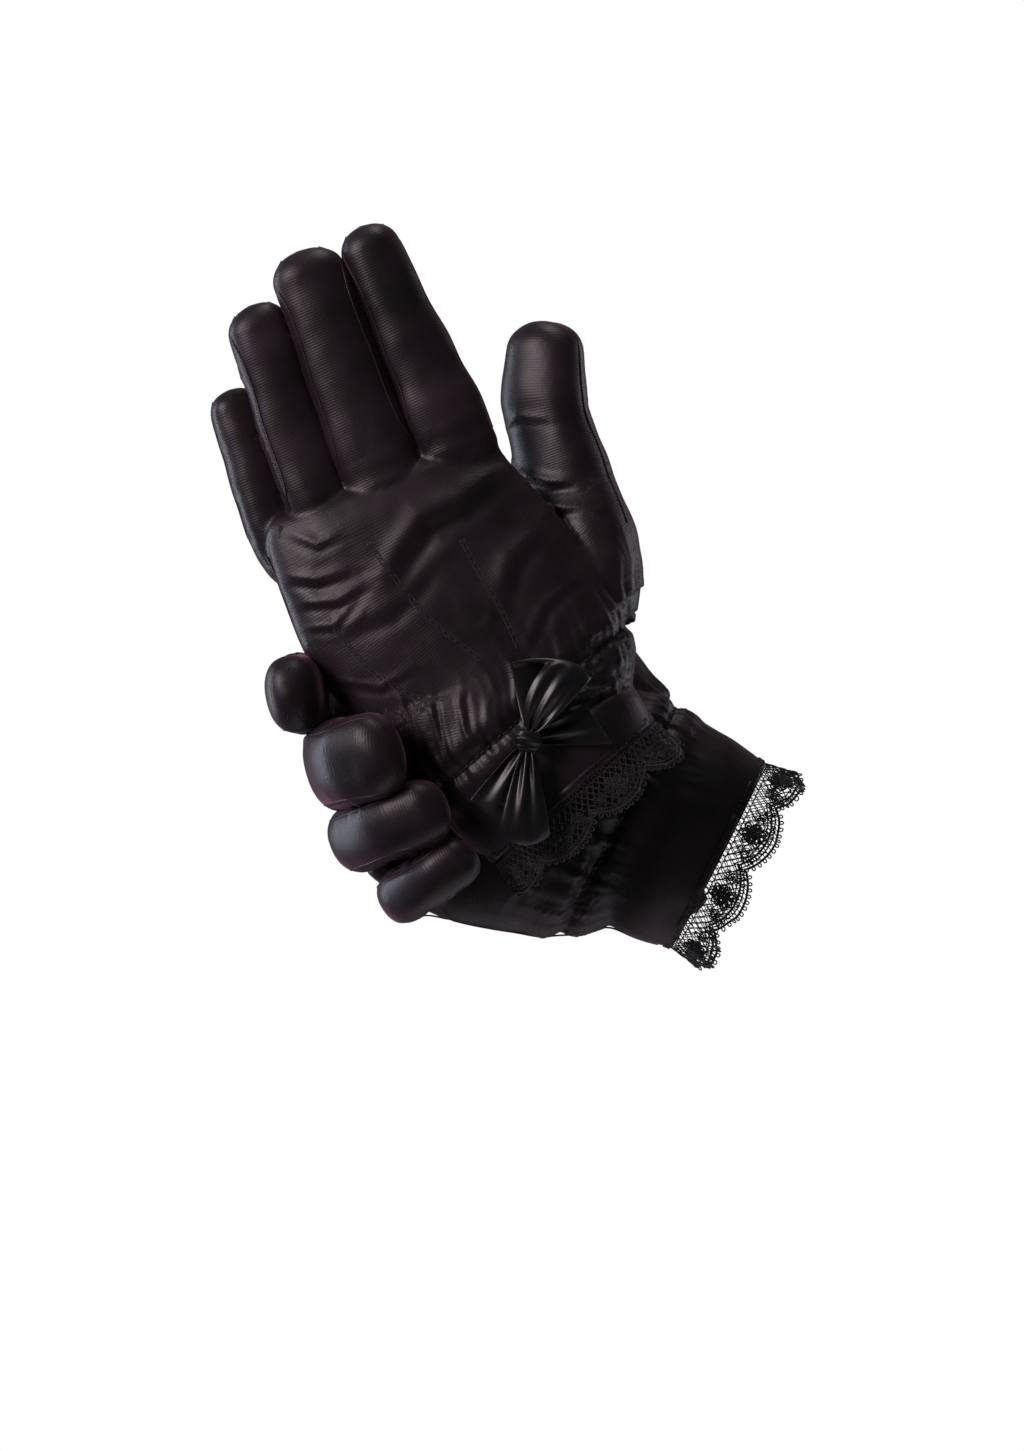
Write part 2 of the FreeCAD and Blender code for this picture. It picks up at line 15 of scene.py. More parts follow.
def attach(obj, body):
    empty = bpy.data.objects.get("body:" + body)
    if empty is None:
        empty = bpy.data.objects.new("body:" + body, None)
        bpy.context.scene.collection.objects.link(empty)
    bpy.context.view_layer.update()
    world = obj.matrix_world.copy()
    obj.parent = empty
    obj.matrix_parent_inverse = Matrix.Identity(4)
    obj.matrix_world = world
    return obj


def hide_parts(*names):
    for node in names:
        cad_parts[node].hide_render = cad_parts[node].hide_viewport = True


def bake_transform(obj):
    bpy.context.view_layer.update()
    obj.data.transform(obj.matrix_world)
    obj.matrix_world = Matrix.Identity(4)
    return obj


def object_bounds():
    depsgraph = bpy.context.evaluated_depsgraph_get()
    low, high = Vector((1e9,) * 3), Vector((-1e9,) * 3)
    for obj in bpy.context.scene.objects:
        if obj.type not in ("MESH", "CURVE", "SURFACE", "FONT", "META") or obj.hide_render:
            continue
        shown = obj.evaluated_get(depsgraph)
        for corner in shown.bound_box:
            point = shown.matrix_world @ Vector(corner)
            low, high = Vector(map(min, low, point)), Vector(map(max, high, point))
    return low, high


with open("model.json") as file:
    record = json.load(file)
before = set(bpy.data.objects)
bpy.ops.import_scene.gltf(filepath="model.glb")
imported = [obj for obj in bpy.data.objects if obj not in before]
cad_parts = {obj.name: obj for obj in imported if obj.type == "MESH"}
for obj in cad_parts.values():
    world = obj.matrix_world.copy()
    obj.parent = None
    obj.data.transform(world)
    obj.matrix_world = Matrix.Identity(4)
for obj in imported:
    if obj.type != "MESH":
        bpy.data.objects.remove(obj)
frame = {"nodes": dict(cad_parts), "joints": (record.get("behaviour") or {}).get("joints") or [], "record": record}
cad_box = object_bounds()

JOINTS = {j["name"]: j for j in frame["joints"]}
MOUNTS = {m["name"]: m for m in frame["record"]["mounts"]}
HANDS = ("left", "right")
FINGERS = ("index", "middle", "ring", "little")
LIMBS = (*FINGERS, "thumb")
VOXEL = 0.85

# Sections of the hand: centre x, y, z, turn and rise of the line across it, half width, half depth.
HAND_SECTIONS = {
    "left": (
        (-2.6, 0.0, 45.0, 0.0, 0.0, 43.0, 17.0),
        (-8.5, 0.0, 72.0, 0.0, 0.0, 44.5, 15.0),
        (-9.8, 0.0, 97.0, 0.0, 0.0, 41.0, 12.5),
        (-8.8, 1.0, 109.5, 2.0, 0.0, 38.8, 10.2),
    ),
    "right": (
        (-2.0, 46.0, -5.0, 45.0, 4.0, 41.5, 17.5),
        (-19.3, 42.5, 6.8, 57.0, 12.0, 42.5, 16.0),
        (-32.0, 41.5, 18.0, 60.0, 19.0, 42.0, 13.5),
        (-37.1, 41.0, 26.3, 61.4, 20.2, 40.0, 11.8),
    ),
}
# Length of each stall's root below its base hinge, and the thumb's inner end with its half sizes.
ROOT = {"left": (6.0, 6.0, 6.0, 6.0), "right": (27.0, 27.0, 25.0, 23.0)}
THUMB_INNER = {
    "left": ((29.5, 7.0, 43.0, 14.0, 11.5), (39.0, 11.0, 62.0, 16.5, 13.5)),
    "right": ((30.0, 58.0, 8.0, 13.0, 11.0), (23.0, 61.0, 31.0, 15.0, 13.0)),
}
# Half widths of the left stalls at their base, middle and end hinges.
STALL_HALF = {
    "index": (12.6, 11.4, 9.8),
    "middle": (13.4, 12.8, 11.8),
    "ring": (10.8, 10.8, 10.2),
    "little": (9.0, 8.7, 8.0),
}
# How far each left tip leans to the thumb.
TIP_LEAN = {"index": 0.6, "middle": 2.3, "ring": 3.4, "little": 1.4}
WRIST_HALF = (37.0, 20.0)
HEM_HALF = (33.0, 21.0)
BAND = 9.0
RIBBON = 0.35
LINE_STEP = 0.8
ROOM_LIGHT = 0.05
LACE_PEAK, LACE_CUSP, LACE_FLARE, SCALLOPS = 14.0, 9.0, 1.5, 8
# Widths of a bow loop and a bow tail where they leave the knot, and the power by which they fan out.
LOOP_ROOT, TAIL_ROOT, FAN = 3.6, 4.0, 0.8


# Vectors and curves


def vec(*values):
    return np.array(values, float)


def unit(v):
    return v / np.linalg.norm(v)


def turned(v, axis, degrees):
    """v turned about a unit axis."""
    a = math.radians(degrees)
    return v * math.cos(a) + np.cross(axis, v) * math.sin(a) + axis * (axis @ v) * (1 - math.cos(a))


def smooth_step(t):
    t = np.clip(t, 0, 1)
    return t * t * (3 - 2 * t)


def spline(values, steps):
    """A smooth line through rows of numbers, with the same count of steps between two rows."""
    rows = np.asarray(values, float)
    ends = np.vstack([2 * rows[0] - rows[1], rows, 2 * rows[-1] - rows[-2]])
    made = []
    for i in range(1, len(ends) - 2):
        a, b, c, d = ends[i - 1 : i + 3]
        for t in np.arange(steps) / steps:
            square, cube = 2 * a - 5 * b + 4 * c - d, 3 * b - a - 3 * c + d
            made.append(0.5 * (2 * b + (c - a) * t + square * t**2 + cube * t**3))
    made.append(ends[-2])
    return np.array(made)


def stations_of(path):
    """Distance along a path to each of its points."""
    return np.concatenate([[0], np.cumsum(np.linalg.norm(np.diff(path, axis=0), axis=1))])


def unit_rows(rows):
    return rows / np.linalg.norm(rows, axis=1)[:, None]


def at_station(station, stations, *fields):
    """Each field's row at one station, between the rows that it is known at."""
    return [np.array([np.interp(station, stations, column) for column in field.T]) for field in fields]


def hinge(name):
    joint = JOINTS[name]
    return np.array(joint["pos_m"], float) * 1000, unit(np.array(joint["axis"], float))


def corners_of(node):
    mesh = frame["nodes"][node].data
    co = np.zeros(len(mesh.vertices) * 3)
    mesh.vertices.foreach_get("co", co)
    return co.reshape(-1, 3) * 1000


def spread(points, direction):
    along = points @ direction
    return along.max() - along.min()


# The skeleton of one glove


class Limb:
    """A stall or thumb: hinges, a smooth centre line and half sizes at every point of it."""

    def __init__(self, hand, name):
        self.hand, self.name = hand, name
        self.to_little = 1 if hand == "left" else -1
        key = f"{hand}_{name}_"
        nodes = ("lower", "tip") if name == "thumb" else ("proximal", "middle", "tip")
        joints = ("base", "end") if name == "thumb" else ("base", "middle", "end")
        cells = [corners_of(key + n) for n in nodes]
        self.hinges, self.axes = zip(*(hinge(f"{key}{j}_bend") for j in joints))
        last = self.hinges[-1]
        guess = unit(cells[-1].mean(0) - last)
        reach = (cells[-1] - last) @ guess
        crown = cells[-1][reach > reach.max() - 1.2].mean(0)
        stops = [*self.hinges, crown]
        self.lines = [unit(b - a) for a, b in zip(stops, stops[1:])]
        self.lengths = [np.linalg.norm(b - a) for a, b in zip(stops, stops[1:])]
        self.palmar = [unit(np.cross(a, l)) for a, l in zip(self.axes, self.lines)]
        halves = []
        for cell, axis, line, palmar in zip(cells, self.axes, self.lines, self.palmar):
            halves.append((spread(cell, axis) / 2 - 0.3, spread(cell, palmar) / 2 - 0.3))
        if name != "thumb":
            wider, deeper = (1.10, 1.10) if hand == "left" else (1.34, 1.16)
            halves = [(w * wider + 0.3, d * deeper + 0.3) for w, d in halves]
            if hand == "left":
                halves = [(w, d) for w, (_, d) in zip(STALL_HALF[name], halves)]
        else:
            halves = [(w * 1.12 + 0.6, d * 1.06 + 0.3) for w, d in halves]
        shrink = 0.84 if name == "thumb" else 0.94
        halves.append((halves[-1][0] * shrink, halves[-1][1] * (0.8 if name == "thumb" else 0.92)))
        if name == "thumb":
            inner = THUMB_INNER[hand]
            points = [vec(*row[:3]) for row in inner]
            sizes = [row[3:] for row in inner]
            self.before = unit(stops[0] - points[-1])
        else:
            root = ROOT[hand][FINGERS.index(name)]
            lean = JOINTS[key + "base_bend"]["range_deg"][0]
            self.before = turned(self.lines[0], self.axes[0], lean)
            start = stops[0] - self.before * root
            heart = vec(*HAND_SECTIONS[hand][-2][:3])
            inward = unit(heart - start) * (6.0 if name == "little" else 1.5)
            points = [start - self.before * 13.0 + inward, start]
            sizes = [(halves[0][0] * 0.78, halves[0][1] * 0.55), (halves[0][0], halves[0][1] * 0.97)]
        self.build_line(points, sizes, stops, halves)

    def build_line(self, points, sizes, stops, halves):
        """Rounds the corners of the chain and measures each point from the base hinge."""
        chain = [*points, *stops]
        size = [*sizes, *halves]
        across = [self.axes[0]] * (len(points) + 1) + [*self.axes[1:], self.axes[-1]]
        rows = []
        for k, (p, s, a) in enumerate(zip(chain, size, across)):
            if 0 < k < len(chain) - 1:
                back = unit(chain[k - 1] - p) * min(6.0, np.linalg.norm(chain[k - 1] - p) * 0.3)
                on = unit(chain[k + 1] - p) * min(6.0, np.linalg.norm(chain[k + 1] - p) * 0.3)
                rows.append([*(p + back), *s, *a])
                rows.append([*(p + back * 0.28 + on * 0.28 - (back + on) * 0.02), *s, *a])
                rows.append([*(p + on), *s, *a])
            else:
                rows.append([*p, *s, *a])
        line = spline(rows, 6)
        length = stations_of(line[:, :3])
        even = np.linspace(0, length[-1], int(length[-1] / LINE_STEP))
        line = np.stack([np.interp(even, length, column) for column in line.T], 1)
        self.points = line[:, :3]
        self.half = line[:, 3:5]
        self.across = line[:, 5:8]
        length = stations_of(self.points)
        near = np.argmin(np.linalg.norm(self.points - stops[0], axis=1))
        self.station = length - length[near]
        self.marks = [0.0]
        for stop in stops[1:]:
            near = np.argmin(np.linalg.norm(self.points - stop, axis=1))
            self.marks.append(self.station[near])
        self.along = unit_rows(np.gradient(self.points, axis=0))
        self.palm = unit_rows(np.cross(self.across, self.along))
        self.side = unit_rows(np.cross(self.along, self.palm))
        if self.hand == "left" and self.name in TIP_LEAN:
            share = smooth_step(self.station / self.station[-1])
            self.points = self.points - self.side * (TIP_LEAN[self.name] * share)[:, None]
        # The last stretch closes into a round tip.
        tip = self.half[-1].mean() * 0.95
        left = self.station[-1] - self.station
        closing = np.clip(1 - left / tip, 0, 1) ** 2.2
        scale = np.sqrt(np.clip(1 - closing, 0.0004, 1))
        self.shaped = self.half * scale[:, None]

    def at(self, station, degrees):
        """A point on the surface: 0 degrees is the back, 90 the little finger's side, 180 the palm."""
        a = math.radians(degrees) * self.to_little
        p, h, side, palm = at_station(station, self.station, self.points, self.shaped, self.side, self.palm)
        return p + side * math.sin(a) * h[0] - palm * math.cos(a) * h[1]

    def measure(self, co):
        """For each point: distance in half sizes, and the station of the nearest centre point."""
        best = np.full(len(co), 1e9)
        station = np.zeros(len(co))
        for p, h, side, palm, along, s in zip(
            self.points, self.half, self.side, self.palm, self.along, self.station
        ):
            d = co - p
            w = np.abs(d @ along)
            if s == self.station[-1] or s == self.station[0]:
                w = w * 0.5
            far = ((d @ side) / h[0]) ** 2 + ((d @ palm) / h[1]) ** 2 + (w / h[1]) ** 2 * 2.0
            closer = far < best
            best[closer] = far[closer]
            station[closer] = s
        return np.sqrt(best), station


class Glove:
    """Everything about one hand's glove that the pieces share."""

    def __init__(self, hand):
        self.hand = hand
        self.wrist, axis = hinge(f"{hand}_wrist_bend")
        self.hem = np.array(MOUNTS[f"{hand}_wrist_opening"]["pos_m"], float) * 1000
        self.along = unit(self.wrist - self.hem)
        self.cuff = np.linalg.norm(self.wrist - self.hem)
        self.palm = vec(0, 1, 0) if hand == "left" else vec(0, -1, 0)
        self.across = unit(np.cross(self.palm, self.along)) * (1 if hand == "left" else -1)
        self.limbs = {name: Limb(hand, name) for name in LIMBS}
        self.rings = self.hand_line()

    def hand_line(self):
        """Centre, half sizes and the line across the hand from the hem to the knuckles."""
        rows = []
        for height, half in (
            (0.0, HEM_HALF),
            (self.cuff * 0.5, (HEM_HALF[0] + 2.6, HEM_HALF[1] + 0.3)),
            (self.cuff, (WRIST_HALF[0] - 1.2, WRIST_HALF[1] - 0.6)),
            (self.cuff + BAND, WRIST_HALF),
        ):
            rows.append([*(self.hem + self.along * height), *half, *self.across])
        for x, y, z, turn, rise, wide, deep in HAND_SECTIONS[self.hand]:
            t, r = math.radians(turn), math.radians(rise)
            line = vec(math.cos(t) * math.cos(r), math.sin(r), math.sin(t) * math.cos(r))
            rows.append([x, y, z, wide, deep, *line])
        return spline(rows, 10)

    def frames(self):
        """Centre, across, palm and along unit vectors and half sizes of every ring."""
        centre, half, across = self.rings[:, :3], self.rings[:, 3:5], self.rings[:, 5:8]
        along = unit_rows(np.gradient(centre, axis=0))
        palm = unit_rows(np.cross(across, along))
        if (palm[0] @ self.palm) < 0:
            palm = -palm
        side = unit_rows(np.cross(palm, along))
        if side[0] @ across[0] < 0:
            side = -side
        return centre, side, palm, along, half

    def measure(self, co):
        """Distance in half sizes, side (1 at the thumb), palm (-1 at the back) and station from the hem."""
        centre, side, palm, along, half = self.frames()
        steps = stations_of(centre)
        best = np.full(len(co), 1e9)
        out = np.zeros((len(co), 3))
        for k in range(len(centre)):
            d = co - centre[k]
            u, v, w = d @ side[k] / half[k, 0], d @ palm[k] / half[k, 1], d @ along[k]
            # The nearest ring is the one whose plane the point lies in.
            key = np.abs(w) + np.where(u**2 + v**2 > 4.0, 200.0, 0.0)
            closer = key < best
            best[closer] = key[closer]
            out[closer] = np.stack([u, v, steps[k] + w], 1)[closer]
        reach = np.maximum(out[:, 2] - steps[-1], 0) / 9.0
        return np.sqrt(out[:, 0] ** 2 + out[:, 1] ** 2 + reach**2), out[:, 0], out[:, 1], out[:, 2]

    def at(self, s, station, face):
        """A point on the hand: s is -1 at the little finger and 1 at the thumb, face -1 back and 1 palm."""
        centre, side, palm, _, half = self.frames()
        steps = stations_of(centre)
        c, out, up, h = at_station(station, steps, centre, side, palm, half)
        return c + out * s * h[0] + up * face * h[1] * math.sqrt(max(0.0, 1 - s * s))


# Meshes


def grid_faces(rows, columns, closed_rows=False, closed_columns=False):
    """Quads between neighbouring points of a grid, which may run round on itself either way."""
    faces = []
    for r in range(rows if closed_rows else rows - 1):
        n = (r + 1) % rows
        for c in range(columns if closed_columns else columns - 1):
            m = (c + 1) % columns
            faces.append((r * columns + c, r * columns + m, n * columns + m, n * columns + c))
    return faces


def tube(rings, count, square=1.0):
    """A closed loft through rings of centre, side, palm, half width and half depth; square fills corners."""
    points = []
    angles = np.arange(count) * 2 * math.pi / count
    cos, sin = np.cos(angles), np.sin(angles)
    cos, sin = np.sign(cos) * np.abs(cos) ** square, np.sign(sin) * np.abs(sin) ** square
    for centre, side, palm, wide, deep in rings:
        points.append(centre + np.outer(cos * wide, side) + np.outer(sin * deep, palm))
    faces = grid_faces(len(rings), count, closed_columns=True)
    co = np.vstack(points)
    first, last = len(co), len(co) + 1
    co = np.vstack([co, rings[0][0], rings[-1][0]])
    top = (len(rings) - 1) * count
    for k in range(count):
        n = (k + 1) % count
        faces.append((n, k, first))
        faces.append((top + k, top + n, last))
    return co, faces


def thread(path, radius, sides=6, closed=False):
    """Vertices and faces of a thin round thread along a path."""
    path = np.asarray(path, float)
    along = np.gradient(path, axis=0)
    if closed:
        along = np.roll(path, -1, axis=0) - np.roll(path, 1, axis=0)
    along /= np.maximum(np.linalg.norm(along, axis=1)[:, None], 1e-9)
    near = np.where(np.abs(along[:, 1:2]) < 0.8, vec(0, 1, 0), vec(1, 0, 0))
    a = np.cross(along, near)
    a /= np.linalg.norm(a, axis=1)[:, None]
    b = np.cross(along, a)
    angles = np.arange(sides) * 2 * math.pi / sides
    co = (
        path[:, None, :]
        + radius * np.cos(angles)[None, :, None] * a[:, None, :]
        + radius * np.sin(angles)[None, :, None] * b[:, None, :]
    ).reshape(-1, 3)
    faces = []
    rows = len(path) if closed else len(path) - 1
    for r in range(rows):
        n = (r + 1) % len(path)
        for k in range(sides):
            m = (k + 1) % sides
            faces.append((r * sides + k, n * sides + k, n * sides + m, r * sides + m))
    if not closed:
        faces.append(tuple(range(sides)))
        faces.append(tuple((len(path) - 1) * sides + k for k in reversed(range(sides))))
    return co, faces


def joined(parts):
    """One list of vertices and faces from several."""
    points, faces, base = [], [], 0
    for co, some in parts:
        points.append(co)
        faces += [tuple(i + base for i in face) for face in some]
        base += len(co)
    return np.vstack(points), faces


def new_object(name, co, faces):
    mesh = bpy.data.meshes.new(name)
    mesh.from_pydata([tuple(p) for p in np.asarray(co) * 0.001], [], faces)
    mesh.update()
    obj = bpy.data.objects.new(name, mesh)
    bpy.context.scene.collection.objects.link(obj)
    return obj


def finished(obj, finish):
    """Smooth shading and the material."""
    obj.data.polygons.foreach_set("use_smooth", [True] * len(obj.data.polygons))
    obj.data.materials.append(finish)


def divided(obj):
    finer = obj.modifiers.new("finer", "SUBSURF")
    finer.levels = finer.render_levels = 1


def mesh_arrays(mesh):
    co = np.zeros(len(mesh.vertices) * 3)
    mesh.vertices.foreach_get("co", co)
    return co.reshape(-1, 3) * 1000, [tuple(p.vertices) for p in mesh.polygons]


def voxel_union(co, faces, voxel):
    """One closed skin round overlapping closed shapes."""
    obj = new_object("union", co, faces)
    modifier = obj.modifiers.new("union", "REMESH")
    modifier.mode = "VOXEL"
    modifier.voxel_size = voxel * 0.001
    graph = bpy.context.evaluated_depsgraph_get()
    made = bpy.data.meshes.new_from_object(obj.evaluated_get(graph))
    result = mesh_arrays(made)
    bpy.data.objects.remove(obj)
    bpy.data.meshes.remove(made)
    return result


def edges_of(faces):
    pairs = set()
    for face in faces:
        for a, b in zip(face, (*face[1:], face[0])):
            pairs.add((a, b) if a < b else (b, a))
    return np.array(sorted(pairs))


def relaxed(co, edges, rounds, share=0.5, back=-0.52):
    """Taubin smoothing: each pass in is followed by a pass out, so the shape keeps its size."""
    count = np.bincount(edges.ravel(), minlength=len(co)).astype(float)
    count[count == 0] = 1
    a, b = edges[:, 0], edges[:, 1]
    for _ in range(rounds):
        for weight in (share, back):
            total = np.stack(
                [
                    np.bincount(a, co[b, i], len(co)) + np.bincount(b, co[a, i], len(co))
                    for i in range(3)
                ],
                1,
            )
            co = co + weight * (total / count[:, None] - co)
    return co


def normals_of(co, faces):
    mesh = bpy.data.meshes.new("normals")
    mesh.from_pydata([tuple(p) for p in co], [], faces)
    normals = np.zeros(len(co) * 3)
    mesh.vertex_normals.foreach_get("vector", normals)
    bpy.data.meshes.remove(mesh)
    return normals.reshape(-1, 3)


def noise_at(co, scale, seed):
    """Smooth noise from -1 to 1 at each point; the scale is the size of a lump in millimetres."""
    shift = Vector((seed * 17.3, seed * 5.1, seed * 9.7))
    return np.array([noise.noise(Vector(p) / scale + shift) for p in co])


# Folds


def path_distance(co, path):
    """Distance to a path of points, the share of its length at the nearest place, and the side of it."""
    best = np.full(len(co), 1e9)
    share = np.zeros(len(co))
    offset = np.zeros((len(co), 3))
    for i in range(len(path) - 1):
        a, b = path[i], path[i + 1]
        d = b - a
        t = np.clip(((co - a) @ d) / (d @ d), 0, 1)
        off = co - a - np.outer(t, d)
        far = np.linalg.norm(off, axis=1)
        closer = far < best
        best[closer] = far[closer]
        share[closer] = (i + t[closer]) / (len(path) - 1)
        offset[closer] = off[closer]
    return best, share, offset


def fold_height(co, path, width, height, normal):
    """A soft ridge along a path, with a sharper valley beside it."""
    near = np.linalg.norm(co - path.mean(0), axis=1) < np.ptp(path, axis=0).max() + 6 * width
    out = np.zeros(len(co))
    if not near.any():
        return out
    far, share, offset = path_distance(co[near], path)
    line = unit(path[-1] - path[0])
    beside = np.cross(line, normal)
    signed = offset @ beside
    signed = np.where(np.abs(signed) > far * 0.3, np.sign(signed) * far, signed)
    fade = np.sin(np.pi * np.clip(share, 0.03, 0.97)) ** 0.8
    ridge = np.exp(-((signed / width) ** 2))
    valley = np.exp(-(((signed - 1.5 * width) / (0.75 * width)) ** 2))
    out[near] = height * fade * (ridge - 0.75 * valley) * np.exp(-((far / (3.2 * width)) ** 4))
    return out


def hand_loft(glove):
    """The hand from the hem to a rounded edge between the stalls."""
    centre, side, palm, along, half = glove.frames()
    rings = [(centre[0] - along[0] * 2.0, side[0], palm[0], *half[0])]
    rings += [(centre[k], side[k], palm[k], *half[k]) for k in range(len(centre))]
    for step, wide, deep in ((2.5, 0.97, 0.86), (4.6, 0.93, 0.62), (6.2, 0.86, 0.3)):
        rings.append(
            (centre[-1] + along[-1] * step, side[-1], palm[-1], half[-1][0] * wide, half[-1][1] * deep)
        )
    return tube(rings, 96, 0.9)


def limb_loft(limb):
    rows = zip(limb.points, limb.side, limb.palm, limb.shaped)
    return tube([(p, side, palm, *half) for p, side, palm, half in rows], 48, 0.84)


def fold_paths(glove):
    """Every fold as (points on the form, width, height, outward direction)."""
    folds = []

    def on_hand(face, width, height, *places):
        path = np.array([glove.at(s, station, face) for s, station in places])
        folds.append((path, width, height, glove.palm * face))

    def on_limb(name, width, height, *places):
        limb = glove.limbs[name]
        path = np.array([limb.at(station, degrees) for station, degrees in places])
        middle = places[len(places) // 2]
        inside = np.array([np.interp(middle[0], limb.station, column) for column in limb.points.T])
        folds.append((path, width, height, unit(limb.at(*middle) - inside)))

    cuff = glove.cuff
    # Gathers beside the bow, then the pulls that run up the back from the elastic.
    on_hand(-1, 1.9, 1.5, (0.22, cuff + 13), (0.55, cuff + 15), (0.93, cuff + 11))
    on_hand(-1, 1.7, 1.4, (0.30, cuff + 5), (0.60, cuff + 6), (0.96, cuff + 3))
    on_hand(-1, 1.5, 0.9, (0.35, cuff - 3), (0.70, cuff - 2), (0.97, cuff - 5))
    on_hand(-1, 1.4, 0.8, (-0.62, cuff + 9), (-0.58, cuff + 18), (-0.52, cuff + 29))
    on_hand(-1, 1.3, 0.7, (-0.40, cuff + 9), (-0.36, cuff + 17), (-0.30, cuff + 25))
    on_hand(-1, 1.3, 0.7, (-0.80, cuff + 9), (-0.76, cuff + 20), (-0.74, cuff + 33))
    on_hand(-1, 1.2, 0.6, (0.05, cuff + 12), (0.09, cuff + 20), (0.12, cuff + 27))
    # The ridge over the knuckles, and wrinkles at the ring and little roots.
    on_hand(-1, 4.2, 1.6, (-0.42, 84), (-0.1, 93), (0.2, 99), (0.5, 98), (0.92, 104))
    on_hand(-1, 3.2, 0.7, (-0.85, 84), (-0.35, 80), (0.15, 86))
    on_hand(-1, 2.0, 0.9, (-0.95, 102), (-0.7, 97), (-0.42, 95))
    on_hand(-1, 1.8, 0.8, (-0.92, 94), (-0.62, 89), (-0.36, 90))
    on_hand(-1, 1.7, 0.5, (-0.80, 110), (-0.60, 104), (-0.40, 104))
    on_hand(-1, 1.6, 0.6, (-0.97, 88), (-0.72, 84), (-0.46, 88))
    on_hand(-1, 1.6, 0.5, (-0.93, 74), (-0.7, 66), (-0.45, 64))
    on_hand(-1, 3.4, 1.0, (0.25, 60), (0.55, 70), (0.85, 74))
    on_hand(-1, 2.0, 0.5, (0.2, 46), (0.5, 52), (0.86, 52))
    # The palm: creases under the stalls, round the thumb's root and above the wrist.
    on_hand(1, 2.2, 0.9, (-0.85, 92), (-0.3, 86), (0.35, 92), (0.8, 100))
    on_hand(1, 1.8, 0.8, (-0.75, 98), (-0.2, 96), (0.4, 101))
    on_hand(1, 2.4, 0.9, (0.75, 92), (0.3, 78), (0.1, 60), (0.15, 42))
    on_hand(1, 1.8, 0.7, (-0.85, 70), (-0.45, 62), (-0.05, 64))
    on_hand(1, 1.7, 0.7, (-0.8, 54), (-0.4, 48), (0.05, 50))
    on_hand(1, 1.5, 0.9, (-0.7, cuff + 9), (-0.62, cuff + 19), (-0.5, cuff + 28))
    on_hand(1, 1.5, 0.9, (-0.3, cuff + 9), (-0.26, cuff + 17), (-0.2, cuff + 25))
    on_hand(1, 1.5, 0.9, (0.3, cuff + 9), (0.3, cuff + 18), (0.26, cuff + 27))
    # The thumb: deep diagonal folds where it leaves the hand, and a few rings near its joint.
    on_limb("thumb", 2.0, 1.5, (12, 80), (6, 40), (0, 0), (-4, -40))
    on_limb("thumb", 1.8, 1.4, (4, 85), (-3, 45), (-9, 5), (-13, -35))
    on_limb("thumb", 1.8, 1.1, (-5, 80), (-13, 40), (-19, 0))
    on_limb("thumb", 1.5, 0.6, (20, 60), (22, 20), (19, -30))
    on_limb("thumb", 1.5, 0.8, (24, 150), (25, 190), (24, 230))
    on_limb("thumb", 1.4, 0.7, (18, 150), (19, 190), (18, 230))
    for name in FINGERS:
        limb = glove.limbs[name]
        for mark in limb.marks[:3]:
            for step, height in ((-2.6, 0.5), (1.8, 0.6)):
                on_limb(name, 1.3, height, (mark + step, 125), (mark + step * 0.4, 180), (mark + step, 235))
            bent = glove.hand == "right"
            for way in (1, -1):
                height = 0.7 if bent else 0.3
                on_limb(name, 1.2, height, (mark - 3, way * 60), (mark, way * 95), (mark - 1, way * 130))
                on_limb(name, 1.1, height, (mark + 4, way * 65), (mark + 2, way * 95), (mark + 1, way * 130))
    return folds


def wrinkled(glove, co, faces):
    """Moves the skin by its folds, its gathers at the elastic and a slow unevenness."""
    normal = normals_of(co, faces)
    far, u, v, _ = glove.measure(co)
    height = (co - glove.wrist) @ glove.along
    turn = np.arctan2(v, u)
    on_hand = smooth_step((1.6 - far) / 0.35)
    move = 0.55 * noise_at(co, 16.0, 1) + 0.2 * noise_at(co, 7.0, 2)
    elastic = BAND - 1.6
    above = height - elastic
    pinch = np.exp(-((above / 1.7) ** 2))
    wave = turn * 15 + 1.4 * noise_at(co, 14.0, 3)
    finer = turn * 34 + 1.8 * noise_at(co, 9.0, 4)
    reach = np.where(above > 0, 9.0, 6.5)
    fade = np.exp(-np.abs(above) / reach) * (1 - 0.45 * pinch)
    pleats = 0.75 * (1 - 2 * np.abs(np.sin(wave)) ** 0.7) + 0.32 * (1 - 2 * np.abs(np.sin(finer)))
    puff = 0.9 * np.exp(-(((above - 5.5) / 4.0) ** 2)) + 0.8 * np.exp(-(((above + 6.0) / 4.0) ** 2))
    move += on_hand * (pleats * fade - 1.3 * pinch + puff)
    for path, width, tall, outward in fold_paths(glove):
        move += fold_height(co, path, width, tall, outward)
    return co + normal * np.clip(move, -1.8, 1.9)[:, None]


def without(co, faces, dropped):
    """The numbers of the points still used, then the mesh without its dropped faces."""
    keep = [face for face, gone in zip(faces, dropped) if not gone]
    used = np.unique([i for face in keep for i in face])
    index = np.full(len(co), -1)
    index[used] = np.arange(len(used))
    return used, co[used], [tuple(int(index[i]) for i in face) for face in keep]


def starts_with(names, heads):
    return np.array([str(name).startswith(heads) for name in names])


def centres_of(co, faces):
    return np.array([co[list(face)].mean(0) for face in faces])


